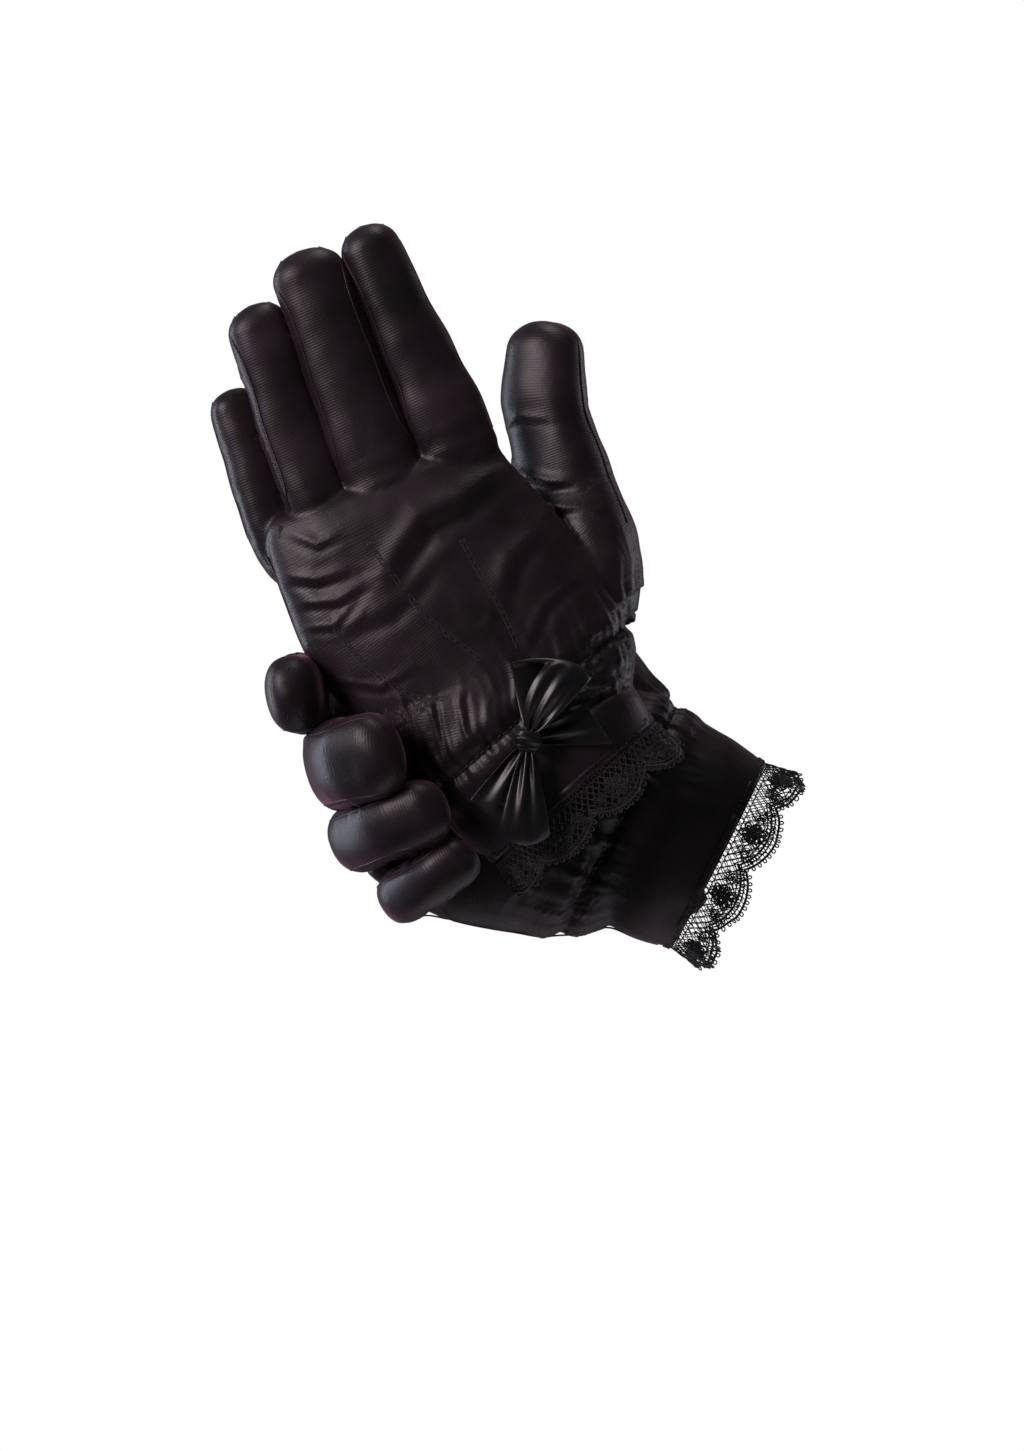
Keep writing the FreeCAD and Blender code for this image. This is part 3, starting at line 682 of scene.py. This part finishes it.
class Skin:
    """The finished skin of a glove. Neighbours are made apart, so that each stall has its own whole wall."""

    def __init__(self, glove):
        self.glove = glove
        hand = hand_loft(glove)
        limbs = {name: limb_loft(limb) for name, limb in glove.limbs.items()}
        parts = [self.grown(hand, limbs, LIMBS, ("hand", "cuff", "wrist", "thumb"))]
        parts += [self.grown(hand, limbs, pair, pair) for pair in (("index", "ring"), ("middle", "little"))]
        self.co, self.faces = joined([(co, faces) for co, faces, _, _ in parts])
        self.normal = np.vstack([normal for _, _, normal, _ in parts])
        self.names = np.concatenate([names for _, _, _, names in parts])
        self.tree = BVHTree.FromPolygons([Vector(p) for p in self.co], self.faces)

    def grown(self, hand, limbs, used_limbs, wanted):
        """The wrinkled skin round the hand and these limbs, cut down to the wanted pieces."""
        co, faces = voxel_union(*joined([hand, *(limbs[name] for name in used_limbs)]), VOXEL)
        co = relaxed(co, edges_of(faces), 14)
        height = (co - self.glove.hem) @ self.glove.along
        _, co, faces = without(co, faces, [min(height[i] for i in face) <= 0.35 for face in faces])
        co = wrinkled(self.glove, co, faces)
        co = relaxed(co, edges_of(faces), 2, 0.4, -0.41)
        normal = normals_of(co, faces)
        names = labels(self.glove, centres_of(co, faces), used_limbs)
        mine = starts_with(names, wanted)
        kept, co, faces = without(co, faces, ~mine)
        return co, faces, normal[kept], names[mine]

    def drop(self, point, lift=0.0):
        """The nearest place on the skin, lifted off it."""
        place, normal, _, _ = self.tree.find_nearest(Vector(point))
        return np.array(place) + np.array(normal) * lift

    def line(self, points, lift=0.0, rounds=3):
        path = np.array([self.drop(p, lift) for p in points])
        for _ in range(rounds):
            path[1:-1] = (path[:-2] + 2 * path[1:-1] + path[2:]) / 4
        return path


def finger_seams(glove, skin):
    """The paired seams of the strips between the stalls, and the single seams of the outer sides."""
    seams = []
    for name in FINGERS:
        limb = glove.limbs[name]
        tip = limb.station[-1]
        low = -4.0
        sides = {"index": (1,), "middle": (-1, 1), "ring": (-1, 1), "little": (-1,)}[name]
        for way in sides:
            for start, end in ((50, 74), (130, 106)):
                stations = np.linspace(low, tip - 1.5, 60)
                share = (stations - low) / (tip - low)
                angles = start + (end - start) * smooth_step((share - 0.72) / 0.28)
                angles = angles + (90 - start) * 0.45 * smooth_step((0.16 - share) / 0.16)
                seams.append([limb.at(s, way * a) for s, a in zip(stations, angles)])
    little = glove.limbs["little"]
    outer = [little.at(s, 96) for s in np.linspace(little.station[-1] - 2, -2, 40)]
    station_top = glove.measure(np.array([outer[-1]]))[3][0]
    outer += [glove.at(-1.0, s, 0.0) for s in np.linspace(station_top - 4, 4, 50)]
    seams.append(outer)
    index = glove.limbs["index"]
    inner = [index.at(s, -96) for s in np.linspace(index.station[-1] - 2, -6, 40)]
    seams.append(inner)
    thumb = glove.limbs["thumb"]
    for way in (-88, 92):
        seams.append([thumb.at(s, way) for s in np.linspace(thumb.station[-1] - 3, -20, 60)])
    return [skin.line(path, 0.06, 5) for path in seams]


def labels(glove, co, used_limbs=LIMBS):
    """The piece that each point belongs to, of the hand and these limbs."""
    height = (co - glove.wrist) @ glove.along
    names = np.full(len(co), "hand", dtype=object)
    measured = {name: glove.limbs[name].measure(co) for name in used_limbs}
    hand_far = glove.measure(co)[0]
    order = np.argmin(np.stack([measured[name][0] for name in used_limbs]), 0)
    for k, name in enumerate(used_limbs):
        limb = glove.limbs[name]
        far, station = measured[name]
        mine = order == k
        if name == "thumb":
            start, _, on = thumb_blend(glove)
            mine &= ((co - start) @ on > -2.0) & (far < hand_far) & (far < 1.5)
            cuts = [limb.marks[1] * 0.6]
        else:
            mine &= (station > stall_start(glove)) & (far < 1.7)
            cuts = [limb.marks[1] * 0.52, limb.marks[1] + (limb.marks[2] - limb.marks[1]) * 0.5]
        part = np.searchsorted(cuts, station)
        for p in range(len(cuts) + 1):
            names[mine & (part == p)] = f"{name}_{p}"
    low = names == "hand"
    names[low & (height < 6.0)] = "wrist"
    names[low & (height < -6.0)] = "cuff"
    return names


def stall_start(glove):
    return -3.2 if glove.hand == "left" else -6.0


def thumb_blend(glove):
    """Start and end of the bend at the thumb's root, which leaves the web beside the hand still."""
    limb = glove.limbs["thumb"]
    on = unit(limb.lines[0] + 0.8 * glove.across)
    return limb.hinges[0] + on * 6.5, limb.hinges[0] + on * 16.0, on


def weave(glove, co):
    """For each point, how far along the cloth it lies, for the fine rows of the knit."""
    _, u, _, station = glove.measure(co)
    row = station.copy()
    best = np.full(len(co), 1.35)
    for limb in glove.limbs.values():
        far, s = limb.measure(co)
        near = (far < best) & (s > 0)
        best[near] = far[near]
        root = glove.measure(limb.hinges[0][None, :])[3][0]
        index = np.clip(np.searchsorted(limb.station, s), 0, len(limb.station) - 1)
        fine = np.einsum("ij,ij->i", co - limb.points[index], limb.along[index])
        row[near] = (root + s + fine)[near]
    return row


def split_skin(glove, skin, finish):
    """Cuts the skin into pieces: the hand and the cuff ride on one body each, and the wrist and each stall and
    thumb piece, which spans one joint, stay in place unattached.
    """
    hand = glove.hand
    seam_co, seam_faces = joined([thread(path, 0.3, 6) for path in finger_seams(glove, skin)])
    co, faces = joined([(skin.co, skin.faces), (seam_co, seam_faces)])
    normal = np.vstack([skin.normal, normals_of(seam_co, seam_faces)])
    names = np.concatenate([skin.names, labels(glove, centres_of(seam_co, seam_faces))])
    row = weave(glove, co)
    made = {}
    for name in sorted(set(names)):
        used, points, mine = without(co, faces, names != name)
        obj = new_object(f"{hand}_{name}_skin", points, mine)
        finished(obj, finish)
        obj.data.normals_split_custom_set_from_vertices([tuple(n) for n in normal[used]])
        rows = obj.data.attributes.new("row", "FLOAT", "POINT")
        rows.data.foreach_set("value", row[used].astype(np.float32))
        made[name] = obj
    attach(made["hand"], f"{hand}_hand")
    panels = ("back_panel", "palm_panel", "crotch_webs", "thumb_gusset")
    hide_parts(*(f"{hand}_{panel}" for panel in panels))
    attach(made["cuff"], f"{hand}_wrist")
    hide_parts(f"{hand}_cuff")
    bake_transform(made["wrist"])
    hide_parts(f"{hand}_wrist_band")
    for name, limb in glove.limbs.items():
        joints = ("base", "end") if name == "thumb" else ("base", "middle", "end")
        nodes = ("lower", "tip") if name == "thumb" else ("proximal", "middle", "tip")
        for k, (joint, node) in enumerate(zip(joints, nodes)):
            piece = made[f"{name}_{k}"]
            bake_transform(piece)
            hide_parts(f"{hand}_{name}_{node}")


# Stitches, elastic and hem


def dashes(path, length, gap, radius):
    """Short stitches laid end to end along a path."""
    path = np.asarray(path, float)
    steps = stations_of(path)
    parts = []
    for begin in np.arange(0.4, steps[-1] - length, length + gap):
        stations = np.linspace(begin, begin + length, 5)
        line = np.stack([np.interp(stations, steps, column) for column in path.T], 1)
        parts.append(thread(line, radius, 6))
    return parts


def smooth_piece(name, parts, finish):
    obj = new_object(name, *joined(parts))
    finished(obj, finish)
    return obj


def point_lines(glove, skin, finishes):
    """Three raised points on the back, each a pair of pinched ribs with stitches between them."""
    parts = []
    for places in (
        ((-0.74, 86), (-0.68, 72), (-0.58, 56), (-0.46, 41)),
        ((-0.24, 99), (-0.20, 90), (-0.14, 70), (-0.06, 50)),
        ((0.36, 86), (0.33, 74), (0.28, 60), (0.20, 47)),
    ):
        path = spline([glove.at(s, station, -1) for s, station in places], 14)
        line = skin.line(path, 0.15, 4)
        parts += dashes(line, 1.3, 1.2, 0.16)
        for lift in (-0.6, 0.6):
            beside = unit_rows(np.cross(np.gradient(path, axis=0), glove.palm))
            parts.append(thread(skin.line(path + beside * lift, -0.1, 4), 0.3, 6))
    obj = smooth_piece(f"{glove.hand}_point_lines", parts, finishes["thread"])
    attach(obj, f"{glove.hand}_hand")
    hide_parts(f"{glove.hand}_point_stitches")


def around(glove, height, wide, deep, degrees):
    """A point at a height above the hem on an ellipse round the cuff's line."""
    a = math.radians(degrees)
    centre = glove.hem + glove.along * height
    return centre + glove.across * math.cos(a) * wide + glove.palm * math.sin(a) * deep


def wrist_elastic(glove, skin, finishes):
    """A ribbed elastic inside the wrist, with its row of stitches showing outside."""
    level = glove.cuff + BAND - 1.6
    count = 220
    profile = ((-2.0, 1.7), (-1.6, 1.25), (1.6, 1.25), (2.0, 1.7), (1.6, 2.1), (-1.6, 2.1))
    points = []
    for k in range(count):
        degrees = 360 * k / count
        rib = 0.16 * math.sin(k * 2 * math.pi / 4)
        for height, inset in profile:
            place = skin.drop(around(glove, level + height * 0.6, *WRIST_HALF, degrees), -inset - rib)
            points.append(place)
    parts = [(np.array(points), grid_faces(count, len(profile), True, True))]
    ring = [skin.drop(around(glove, level, *WRIST_HALF, d), 0.12) for d in np.linspace(0, 360, 200)]
    parts += dashes(ring, 1.3, 1.1, 0.3)
    obj = smooth_piece(f"{glove.hand}_elastic", parts, finishes["elastic"])
    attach(obj, f"{glove.hand}_hand")
    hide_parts(f"{glove.hand}_wrist_elastic")


def hem_band(glove, finishes):
    """The hem: cloth turned up inside and held by two rows of stitches."""
    inside = ((5.0, -1.0), (2.6, -0.95), (0.6, -0.8), (-0.1, -0.35))
    profile = (*inside, (-0.1, 0.25), (0.5, 0.55), (2.2, 0.6), (2.6, 0.25))
    count = 240
    points = []
    for k in range(count):
        degrees = 360 * k / count
        wave = 0.22 * math.sin(k * 2 * math.pi * 11 / count)
        wave += 0.12 * math.sin(k * 2 * math.pi * 27 / count)
        for height, offset in profile:
            wide, deep = (half + offset + wave for half in HEM_HALF)
            points.append(around(glove, height, wide + height * 0.13, deep, degrees))
    parts = [(np.array(points), grid_faces(count, len(profile), True))]
    for height in (1.9, 0.5):
        ring = [
            around(glove, height, HEM_HALF[0] + 0.85, HEM_HALF[1] + 0.7, d) for d in np.linspace(0, 360, 200)
        ]
        parts += dashes(ring, 1.2, 0.8, 0.17)
    obj = smooth_piece(f"{glove.hand}_hem", parts, finishes["satin_plain"])
    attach(obj, f"{glove.hand}_wrist")
    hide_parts(f"{glove.hand}_hem_facing")


# Lace


class LaceGround:
    """Turns flat lace places, in millimetres round the hem and below it, into places on the flounce."""

    def __init__(self, glove):
        self.glove = glove
        degrees = np.linspace(0, 360, 721)
        ring = np.array([around(glove, 0, *HEM_HALF, d) for d in degrees])
        steps = np.linalg.norm(np.diff(ring, axis=0), axis=1)
        self.length = steps.sum()
        self.table = np.concatenate([[0], np.cumsum(steps)]), degrees
        self.pitch = self.length / SCALLOPS

    def edge(self, s):
        """Depth of the scalloped edge at s."""
        return LACE_CUSP + (LACE_PEAK - LACE_CUSP) * np.abs(np.sin(np.pi * s / self.pitch)) ** 0.7

    def place(self, s, t, lift=0.0):
        degrees = np.interp(s % self.length, *self.table)
        share = t / LACE_PEAK
        ripple = 0.75 * math.sin(s / self.pitch * 2 * math.pi * 2 + 0.7) * share
        ripple += 0.4 * math.sin(s / self.pitch * 2 * math.pi * 3.5) * share
        grow = LACE_FLARE * share + ripple + lift + 0.15
        return around(self.glove, -t, HEM_HALF[0] + grow, HEM_HALF[1] + grow, degrees)

    def strand(self, places, radius, lift=0.0, closed=False, sides=5):
        return thread([self.place(s, t, lift) for s, t in places], radius, sides, closed)


def petal(centre, angle, length, width, share=1.0):
    """A closed leaf shape that starts at its centre's side and points along an angle."""
    places = []
    for q in np.linspace(0, 2 * math.pi, 15)[:-1]:
        along = length * (0.5 - 0.5 * math.cos(q) * share)
        across = width * math.sin(q) * share * (0.6 + 0.4 * math.sin(q / 2))
        places.append(
            (
                centre[0] + along * math.cos(angle) - across * math.sin(angle),
                centre[1] + along * math.sin(angle) + across * math.cos(angle),
            )
        )
    return places


def stem_place(middle, way, q):
    """A place on the curved stem beside a flower."""
    return middle[0] + way * (3.4 + 0.9 * q), 8.6 - q + 0.2 * q * q


def lace_trim(glove, finishes):
    """Openwork: a header, a net ground, flowers and leaves, a corded scalloped edge and picots."""
    ground = LaceGround(glove)
    length, pitch = ground.length, ground.pitch
    parts = []
    for t, radius in ((0.1, 0.26), (1.5, 0.2)):
        ring = [(s, t) for s in np.linspace(0, length, 260, endpoint=False)]
        parts.append(ground.strand(ring, radius, closed=True))
    bars = int(length / 1.3)
    for k in range(bars):
        s = length * k / bars
        parts.append(ground.strand([(s, 0.1), (s + 0.65, 1.5)], 0.15))
    mesh = length / round(length / 2.3)
    lines = round(length / mesh)
    for k in range(lines):
        for way in (1, -1):
            places = []
            for t in np.arange(1.5, LACE_PEAK, 1.0):
                s = k * mesh + way * (t - 1.5) * 0.75
                if t > ground.edge(s) - 1.0:
                    break
                places.append((s + 0.12 * math.sin(t * 3 + k), t))
            if len(places) > 1:
                parts.append(ground.strand(places, 0.17, 0.06 * way))
    samples = np.linspace(0, length, 420, endpoint=False)
    for inset, radius in ((1.9, 0.24), (0.55, 0.42)):
        parts.append(ground.strand([(s, ground.edge(s) - inset) for s in samples], radius, closed=True))
    for k in range(int(length / 1.3)):
        s = k * 1.3
        parts.append(ground.strand([(s, ground.edge(s) - 1.9), (s + 0.5, ground.edge(s + 0.5) - 0.6)], 0.16))
    picots = int(length / 1.75)
    for k in range(picots):
        s = length * (k + 0.5) / picots
        slope = (ground.edge(s + 0.2) - ground.edge(s - 0.2)) / 0.4
        out = unit(vec(-slope, 1.0))
        base = vec(s, ground.edge(s) - 0.3)
        ring = []
        for q in np.linspace(0, 2 * math.pi, 9)[:-1]:
            spot = base + out * (0.55 - 0.62 * math.cos(q)) + vec(out[1], -out[0]) * 0.52 * math.sin(q)
            ring.append(tuple(spot))
        parts.append(ground.strand(ring, 0.24, closed=True))
    for k in range(SCALLOPS):
        middle = ((k + 0.5) * pitch, 7.4)
        for p in range(6):
            angle = p * math.pi / 3 + 0.3
            for share, radius in ((1.0, 0.32), (0.5, 0.3)):
                parts.append(ground.strand(petal(middle, angle, 3.6, 1.2, share), radius, 0.15, True))
        eye = [(middle[0] + 0.7 * math.cos(q), middle[1] + 0.7 * math.sin(q)) for q in np.arange(8) * math.pi / 4]
        parts.append(ground.strand(eye, 0.3, 0.25, True))
        for way in (-1, 1):
            stem = [stem_place(middle, way, q) for q in np.linspace(0, 5, 10)]
            parts.append(ground.strand(stem, 0.22, 0.12))
            for spot, angle in ((1.6, -1.2), (2.6, 1.3), (3.8, -1.1), (4.8, 1.0)):
                root = stem_place(middle, way, spot)
                turn = angle if way > 0 else math.pi - angle
                parts.append(ground.strand(petal(root, turn, 2.2, 0.8), 0.2, 0.12, True))
                vein = [root, (root[0] + 1.8 * math.cos(turn), root[1] + 1.8 * math.sin(turn))]
                parts.append(ground.strand(vein, 0.18, 0.12))
    obj = smooth_piece(f"{glove.hand}_lace", parts, finishes["lace"])
    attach(obj, f"{glove.hand}_wrist")
    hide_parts(f"{glove.hand}_lace_trim")


# The bow


def bow_frame(glove, node, knot):
    """Where a bow piece starts, its way out from the knot, across and outward, and its size."""
    co = corners_of(node)
    out = -glove.palm
    way = co.mean(0) - knot
    way = unit(way - out * (way @ out))
    across = np.cross(out, way)
    along = (co - knot) @ way
    return way, across, out, along.min(), along.max(), spread(co, across), ((co - knot) @ out).min()


def cloth(name, grid, closed, finish, body, node):
    """A ribbon piece from a grid of points, given a thickness and one step of subdivision and hung on its body,
    with its part hidden.
    """
    obj = new_object(name, grid.reshape(-1, 3), grid_faces(*grid.shape[:2], closed))
    finished(obj, finish)
    shell = obj.modifiers.new("cloth", "SOLIDIFY")
    shell.thickness = RIBBON * 0.001
    shell.offset = 0.0
    divided(obj)
    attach(obj, body)
    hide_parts(node)


def bow(glove, finishes):
    hand = glove.hand
    body = f"{hand}_wrist"
    knot = corners_of(f"{hand}_bow_knot").mean(0)
    finish = finishes["bow"]
    for name, height, mouth, longer in (("loop_upper", 8.5, 1.0, 1.05), ("loop_lower", 6.0, 0.0, 1.3)):
        way, across, out, near, far, wide, low = bow_frame(glove, f"{hand}_bow_{name}", knot)
        wide = wide * (1.25 if mouth else 0.8)
        length = (far - near) * longer + 2.6
        rows, columns = 64, 24
        grid = np.zeros((rows, columns, 3))
        for r in range(rows):
            q = 2 * math.pi * r / rows
            share = 0.5 - 0.5 * math.cos(q)
            front = smooth_step(0.5 + 2.0 * math.sin(q) * share**0.5)
            lift = height * 0.5 * math.sin(q) * share**0.5
            grown = LOOP_ROOT + (wide - LOOP_ROOT) * share**FAN
            for c in range(columns):
                v = 2 * c / (columns - 1) - 1
                pleat = 0.7 * math.cos(v * 8.0 + (1.2 if lift > 0 else 0.0)) * (1 - share) ** 0.7
                pleat += 0.45 * math.sin(v * 3.4 + share * 4.0 + 0.8) * share
                droop = -1.6 * v * v * share * front
                open_front = mouth * front * share
                side = v * grown / 2 * (1 - 0.42 * open_front) - open_front * grown * 0.2
                slant = 0.12 * v * v + 0.10 * mouth * (v + 0.2) * (1 - front)
                reach = near - 2.6 + length * share * (1 - slant)
                rise = height * 0.5 + low + lift + pleat * (0.35 + 0.65 * front) + droop
                grid[r, c] = knot + way * reach + across * side + out * max(rise, low + 0.1)
        cloth(
            f"{hand}_bow_{name}_ribbon",
            grid,
            True,
            finish,
            body,
            f"{hand}_bow_{name}",
        )
    for name, curl in (("tail_outer", 1.6), ("tail_inner", 1.0)):
        way, across, out, near, far, wide, low = bow_frame(glove, f"{hand}_bow_{name}", knot)
        length = far - near + 2.0
        rows, columns = 30, 20
        grid = np.zeros((rows, columns, 3))
        for r in range(rows):
            share = r / (rows - 1)
            grown = TAIL_ROOT + (wide - TAIL_ROOT) * share**FAN
            for c in range(columns):
                v = 2 * c / (columns - 1) - 1
                pleat = 0.7 * math.cos(v * 6.0) * (1 - share) ** 0.7 + 0.35 * math.sin(v * 3.5 + 1.0) * share
                reach = near - 2.0 + length * share * (1 - 0.13 * (v + 1) * share)
                rise = low + 1.0 + pleat + curl * share * share * (0.4 + 0.4 * v)
                grid[r, c] = knot + way * reach + across * (v * grown / 2) + out * rise
        cloth(
            f"{hand}_bow_{name}_ribbon",
            grid,
            False,
            finish,
            body,
            f"{hand}_bow_{name}",
        )
    way, across, out = bow_frame(glove, f"{hand}_bow_loop_upper", knot)[:3]
    rings = []
    for k in range(19):
        t = math.pi * (k + 0.5) / 19
        swell = math.sin(t) ** 0.55
        rings.append((knot + across * -4.2 * math.cos(t) + out * 1.0, way, out, 3.4 * swell, 3.4 * swell))
    co, faces = tube(rings, 40)
    local = co - knot
    u, v, w = local @ way, local @ across, local @ out
    groove = 0.35 * np.cos(u * 2.6 + 0.25 * v) + 0.18 * np.cos(u * 5.1 + 1.0)
    co = co + np.outer(groove * (w > -1.5), out)
    obj = smooth_piece(f"{hand}_bow_knot_wrap", [(co, faces)], finish)
    divided(obj)
    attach(obj, body)
    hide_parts(f"{hand}_bow_knot")


# Materials


def new_material(name, colour, rough, sheen, tint, sheen_rough=0.35, specular=0.5):
    material = bpy.data.materials.new(name)
    material.use_nodes = True
    shader = material.node_tree.nodes["Principled BSDF"]
    shader.inputs["Base Color"].default_value = (*colour, 1)
    shader.inputs["Roughness"].default_value = rough
    shader.inputs["Specular IOR Level"].default_value = specular
    shader.inputs["Sheen Weight"].default_value = sheen
    shader.inputs["Sheen Roughness"].default_value = sheen_rough
    shader.inputs["Sheen Tint"].default_value = (*tint, 1)
    return material, shader


def node(material, kind, **values):
    made = material.node_tree.nodes.new(kind)
    for key, value in values.items():
        if hasattr(made, key):
            setattr(made, key, value)
        else:
            made.inputs[key.replace("_", " ")].default_value = value
    return made


def link(material, a, b):
    material.node_tree.links.new(a, b)


def mottled(material, shader, low, high, scale, coordinate):
    """Slow unevenness of the colour and the gloss: random tone, which on the glove satin stands in for painted
    sheen and painted shade in patches.
    """
    cloud = node(material, "ShaderNodeTexNoise", Scale=scale, Detail=3.0)
    link(material, coordinate, cloud.inputs["Vector"])
    ramp = node(material, "ShaderNodeValToRGB")
    ramp.color_ramp.elements[0].position = 0.35
    ramp.color_ramp.elements[0].color = (*low, 1)
    ramp.color_ramp.elements[1].position = 0.68
    ramp.color_ramp.elements[1].color = (*high, 1)
    link(material, cloud.outputs["Fac"], ramp.inputs["Fac"])
    link(material, ramp.outputs["Color"], shader.inputs["Base Color"])
    return cloud


def satin(name, with_rows):
    """Tricot satin: near black with a purple sheen, painted sheen and shade patches in its base colour, a fine
    grain and, where asked, rows of knit.
    """
    material, shader = new_material(name, (0.014, 0.010, 0.013), 0.36, 0.42, (0.85, 0.44, 0.62), 0.38, 0.5)
    place = node(material, "ShaderNodeTexCoord")
    # The lighter purple patches of this base colour are painted sheen and the darker ones painted shade; the same
    # noise also varies the roughness.
    cloud = mottled(material, shader, (0.006, 0.005, 0.007), (0.026, 0.015, 0.022), 45.0, place.outputs["Object"])
    rough = node(material, "ShaderNodeMapRange")
    rough.inputs["To Min"].default_value = 0.36
    rough.inputs["To Max"].default_value = 0.5
    link(material, cloud.outputs["Fac"], rough.inputs["Value"])
    link(material, rough.outputs["Result"], shader.inputs["Roughness"])
    grain = node(material, "ShaderNodeTexNoise", Scale=2600.0, Detail=2.0)
    link(material, place.outputs["Object"], grain.inputs["Vector"])
    height = grain.outputs["Fac"]
    if with_rows:
        row = node(material, "ShaderNodeAttribute", attribute_name="row")
        turn = node(material, "ShaderNodeMath", operation="MULTIPLY")
        turn.inputs[1].default_value = 2 * math.pi / 0.85
        link(material, row.outputs["Fac"], turn.inputs[0])
        wave = node(material, "ShaderNodeMath", operation="SINE")
        link(material, turn.outputs["Value"], wave.inputs[0])
        mixed = node(material, "ShaderNodeMath", operation="MULTIPLY_ADD")
        mixed.inputs[1].default_value = 0.28
        link(material, wave.outputs["Value"], mixed.inputs[0])
        link(material, grain.outputs["Fac"], mixed.inputs[2])
        height = mixed.outputs["Value"]
    bump = node(material, "ShaderNodeBump", Strength=0.35, Distance=0.00012)
    link(material, height, bump.inputs["Height"])
    link(material, bump.outputs["Normal"], shader.inputs["Normal"])
    return material


def ribbon_satin():
    """Smooth ribbon satin: darker and glossier than the glove, with a fine weft."""
    material, shader = new_material("ribbon_satin", (0.009, 0.008, 0.010), 0.33, 0.2, (0.6, 0.52, 0.58), 0.35, 0.6)
    place = node(material, "ShaderNodeTexCoord")
    mottled(material, shader, (0.006, 0.006, 0.008), (0.014, 0.012, 0.014), 120.0, place.outputs["Object"])
    grain = node(material, "ShaderNodeTexNoise", Scale=3500.0, Detail=2.0)
    link(material, place.outputs["Object"], grain.inputs["Vector"])
    bump = node(material, "ShaderNodeBump", Strength=0.2, Distance=0.0001)
    link(material, grain.outputs["Fac"], bump.inputs["Height"])
    link(material, bump.outputs["Normal"], shader.inputs["Normal"])
    return material


def yarn(name, colour, rough, twist):
    """Spun thread: matt, with a fine twist along it."""
    material, shader = new_material(name, colour, rough, 0.5, (0.5, 0.45, 0.48), 0.5, 0.4)
    place = node(material, "ShaderNodeTexCoord")
    high = tuple(c * 1.8 for c in colour)
    mottled(material, shader, colour, high, 400.0, place.outputs["Object"])
    fibre = node(material, "ShaderNodeTexNoise", Scale=twist, Detail=3.0)
    link(material, place.outputs["Object"], fibre.inputs["Vector"])
    bump = node(material, "ShaderNodeBump", Strength=0.5, Distance=0.0001)
    link(material, fibre.outputs["Fac"], bump.inputs["Height"])
    link(material, bump.outputs["Normal"], shader.inputs["Normal"])
    return material


# Stage


def area_light(name, place, size, power, colour, target):
    data = bpy.data.lights.new(name, "AREA")
    data.shape = "RECTANGLE"
    data.size, data.size_y = size
    data.energy = power
    data.color = colour
    obj = bpy.data.objects.new(name, data)
    bpy.context.scene.collection.objects.link(obj)
    obj.location = place
    obj.rotation_euler = (Vector(target) - Vector(place)).to_track_quat("-Z", "Y").to_euler()


def stage():
    scene = bpy.context.scene
    lo, hi = cad_box
    middle = (lo + hi) / 2
    mesh = bpy.data.meshes.new("floor")
    across, drop, sides = 0.36, lo.z - 0.30, 96
    turns = [2 * math.pi * k / sides for k in range(sides)]
    ring = [(middle.x + across * math.cos(t), middle.y + across * math.sin(t), drop) for t in turns]
    mesh.from_pydata(ring, [], [tuple(range(sides))])
    floor = bpy.data.objects.new("floor", mesh)
    scene.collection.objects.link(floor)
    material, shader = new_material("pale_floor", (0.9, 0.9, 0.89), 0.8, 0.0, (1, 1, 1))
    mesh.materials.append(material)
    world = bpy.data.worlds.new("studio")
    scene.world = world
    world.use_nodes = True
    tree = world.node_tree
    room = tree.nodes["Background"]
    room.inputs["Color"].default_value = (1, 1, 1, 1)
    room.inputs["Strength"].default_value = ROOM_LIGHT
    sweep = tree.nodes.new("ShaderNodeBackground")
    sweep.inputs["Color"].default_value = (1, 1, 1, 1)
    seen, mix = tree.nodes.new("ShaderNodeLightPath"), tree.nodes.new("ShaderNodeMixShader")
    tree.links.new(seen.outputs["Is Camera Ray"], mix.inputs["Fac"])
    tree.links.new(room.outputs["Background"], mix.inputs[1])
    tree.links.new(sweep.outputs["Background"], mix.inputs[2])
    tree.links.new(mix.outputs["Shader"], tree.nodes["World Output"].inputs["Surface"])
    right, up = Vector((0.883, 0, -0.469)), Vector((0.469, 0, 0.883))
    front = Vector((0, -1, 0))
    for name, place, size, power, colour in (
        ("key", front * 0.75 - right * 0.95 + up * 0.45, (0.4, 0.5), 8.0, (1.0, 0.84, 0.90)),
        ("top", up, (0.7, 0.3), 2.0, (1.0, 0.95, 0.95)),
        ("left_rim", -right * 0.9 - front * 0.35, (0.2, 0.9), 4.5, (0.78, 0.85, 1.0)),
        ("right_rim", right * 0.9 - front * 0.45, (0.2, 0.9), 2.0, (0.9, 0.92, 1.0)),
    ):
        area_light(name, middle + place, size, power, colour, middle)
    camera = bpy.data.cameras.new("camera")
    view = bpy.data.objects.new("camera", camera)
    scene.collection.objects.link(view)
    distance, frame_height = 1.45, 0.4498
    camera.sensor_width = 36.0
    camera.lens = camera.sensor_width * distance / frame_height
    aim = Vector((-0.0071, 0.0, 0.0267))
    spot = aim + front * distance
    axes = Matrix((right, up, front)).transposed().to_4x4()
    view.matrix_world = Matrix.Translation(spot) @ axes
    scene.camera = view
    scene.view_settings.view_transform = "Standard"


def main():
    finishes = {
        "satin": satin("tricot_satin", True),
        "satin_plain": satin("hem_satin", False),
        "bow": ribbon_satin(),
        "thread": yarn("sewing_thread", (0.016, 0.014, 0.017), 0.5, 5000.0),
        "lace": yarn("lace_yarn", (0.010, 0.009, 0.011), 0.62, 4200.0),
        "elastic": yarn("elastic_web", (0.014, 0.013, 0.015), 0.6, 3000.0),
    }
    for hand in HANDS:
        glove = Glove(hand)
        skin = Skin(glove)
        split_skin(glove, skin, finishes["satin"])
        point_lines(glove, skin, finishes)
        wrist_elastic(glove, skin, finishes)
        hem_band(glove, finishes)
        lace_trim(glove, finishes)
        bow(glove, finishes)
    stage()


main()
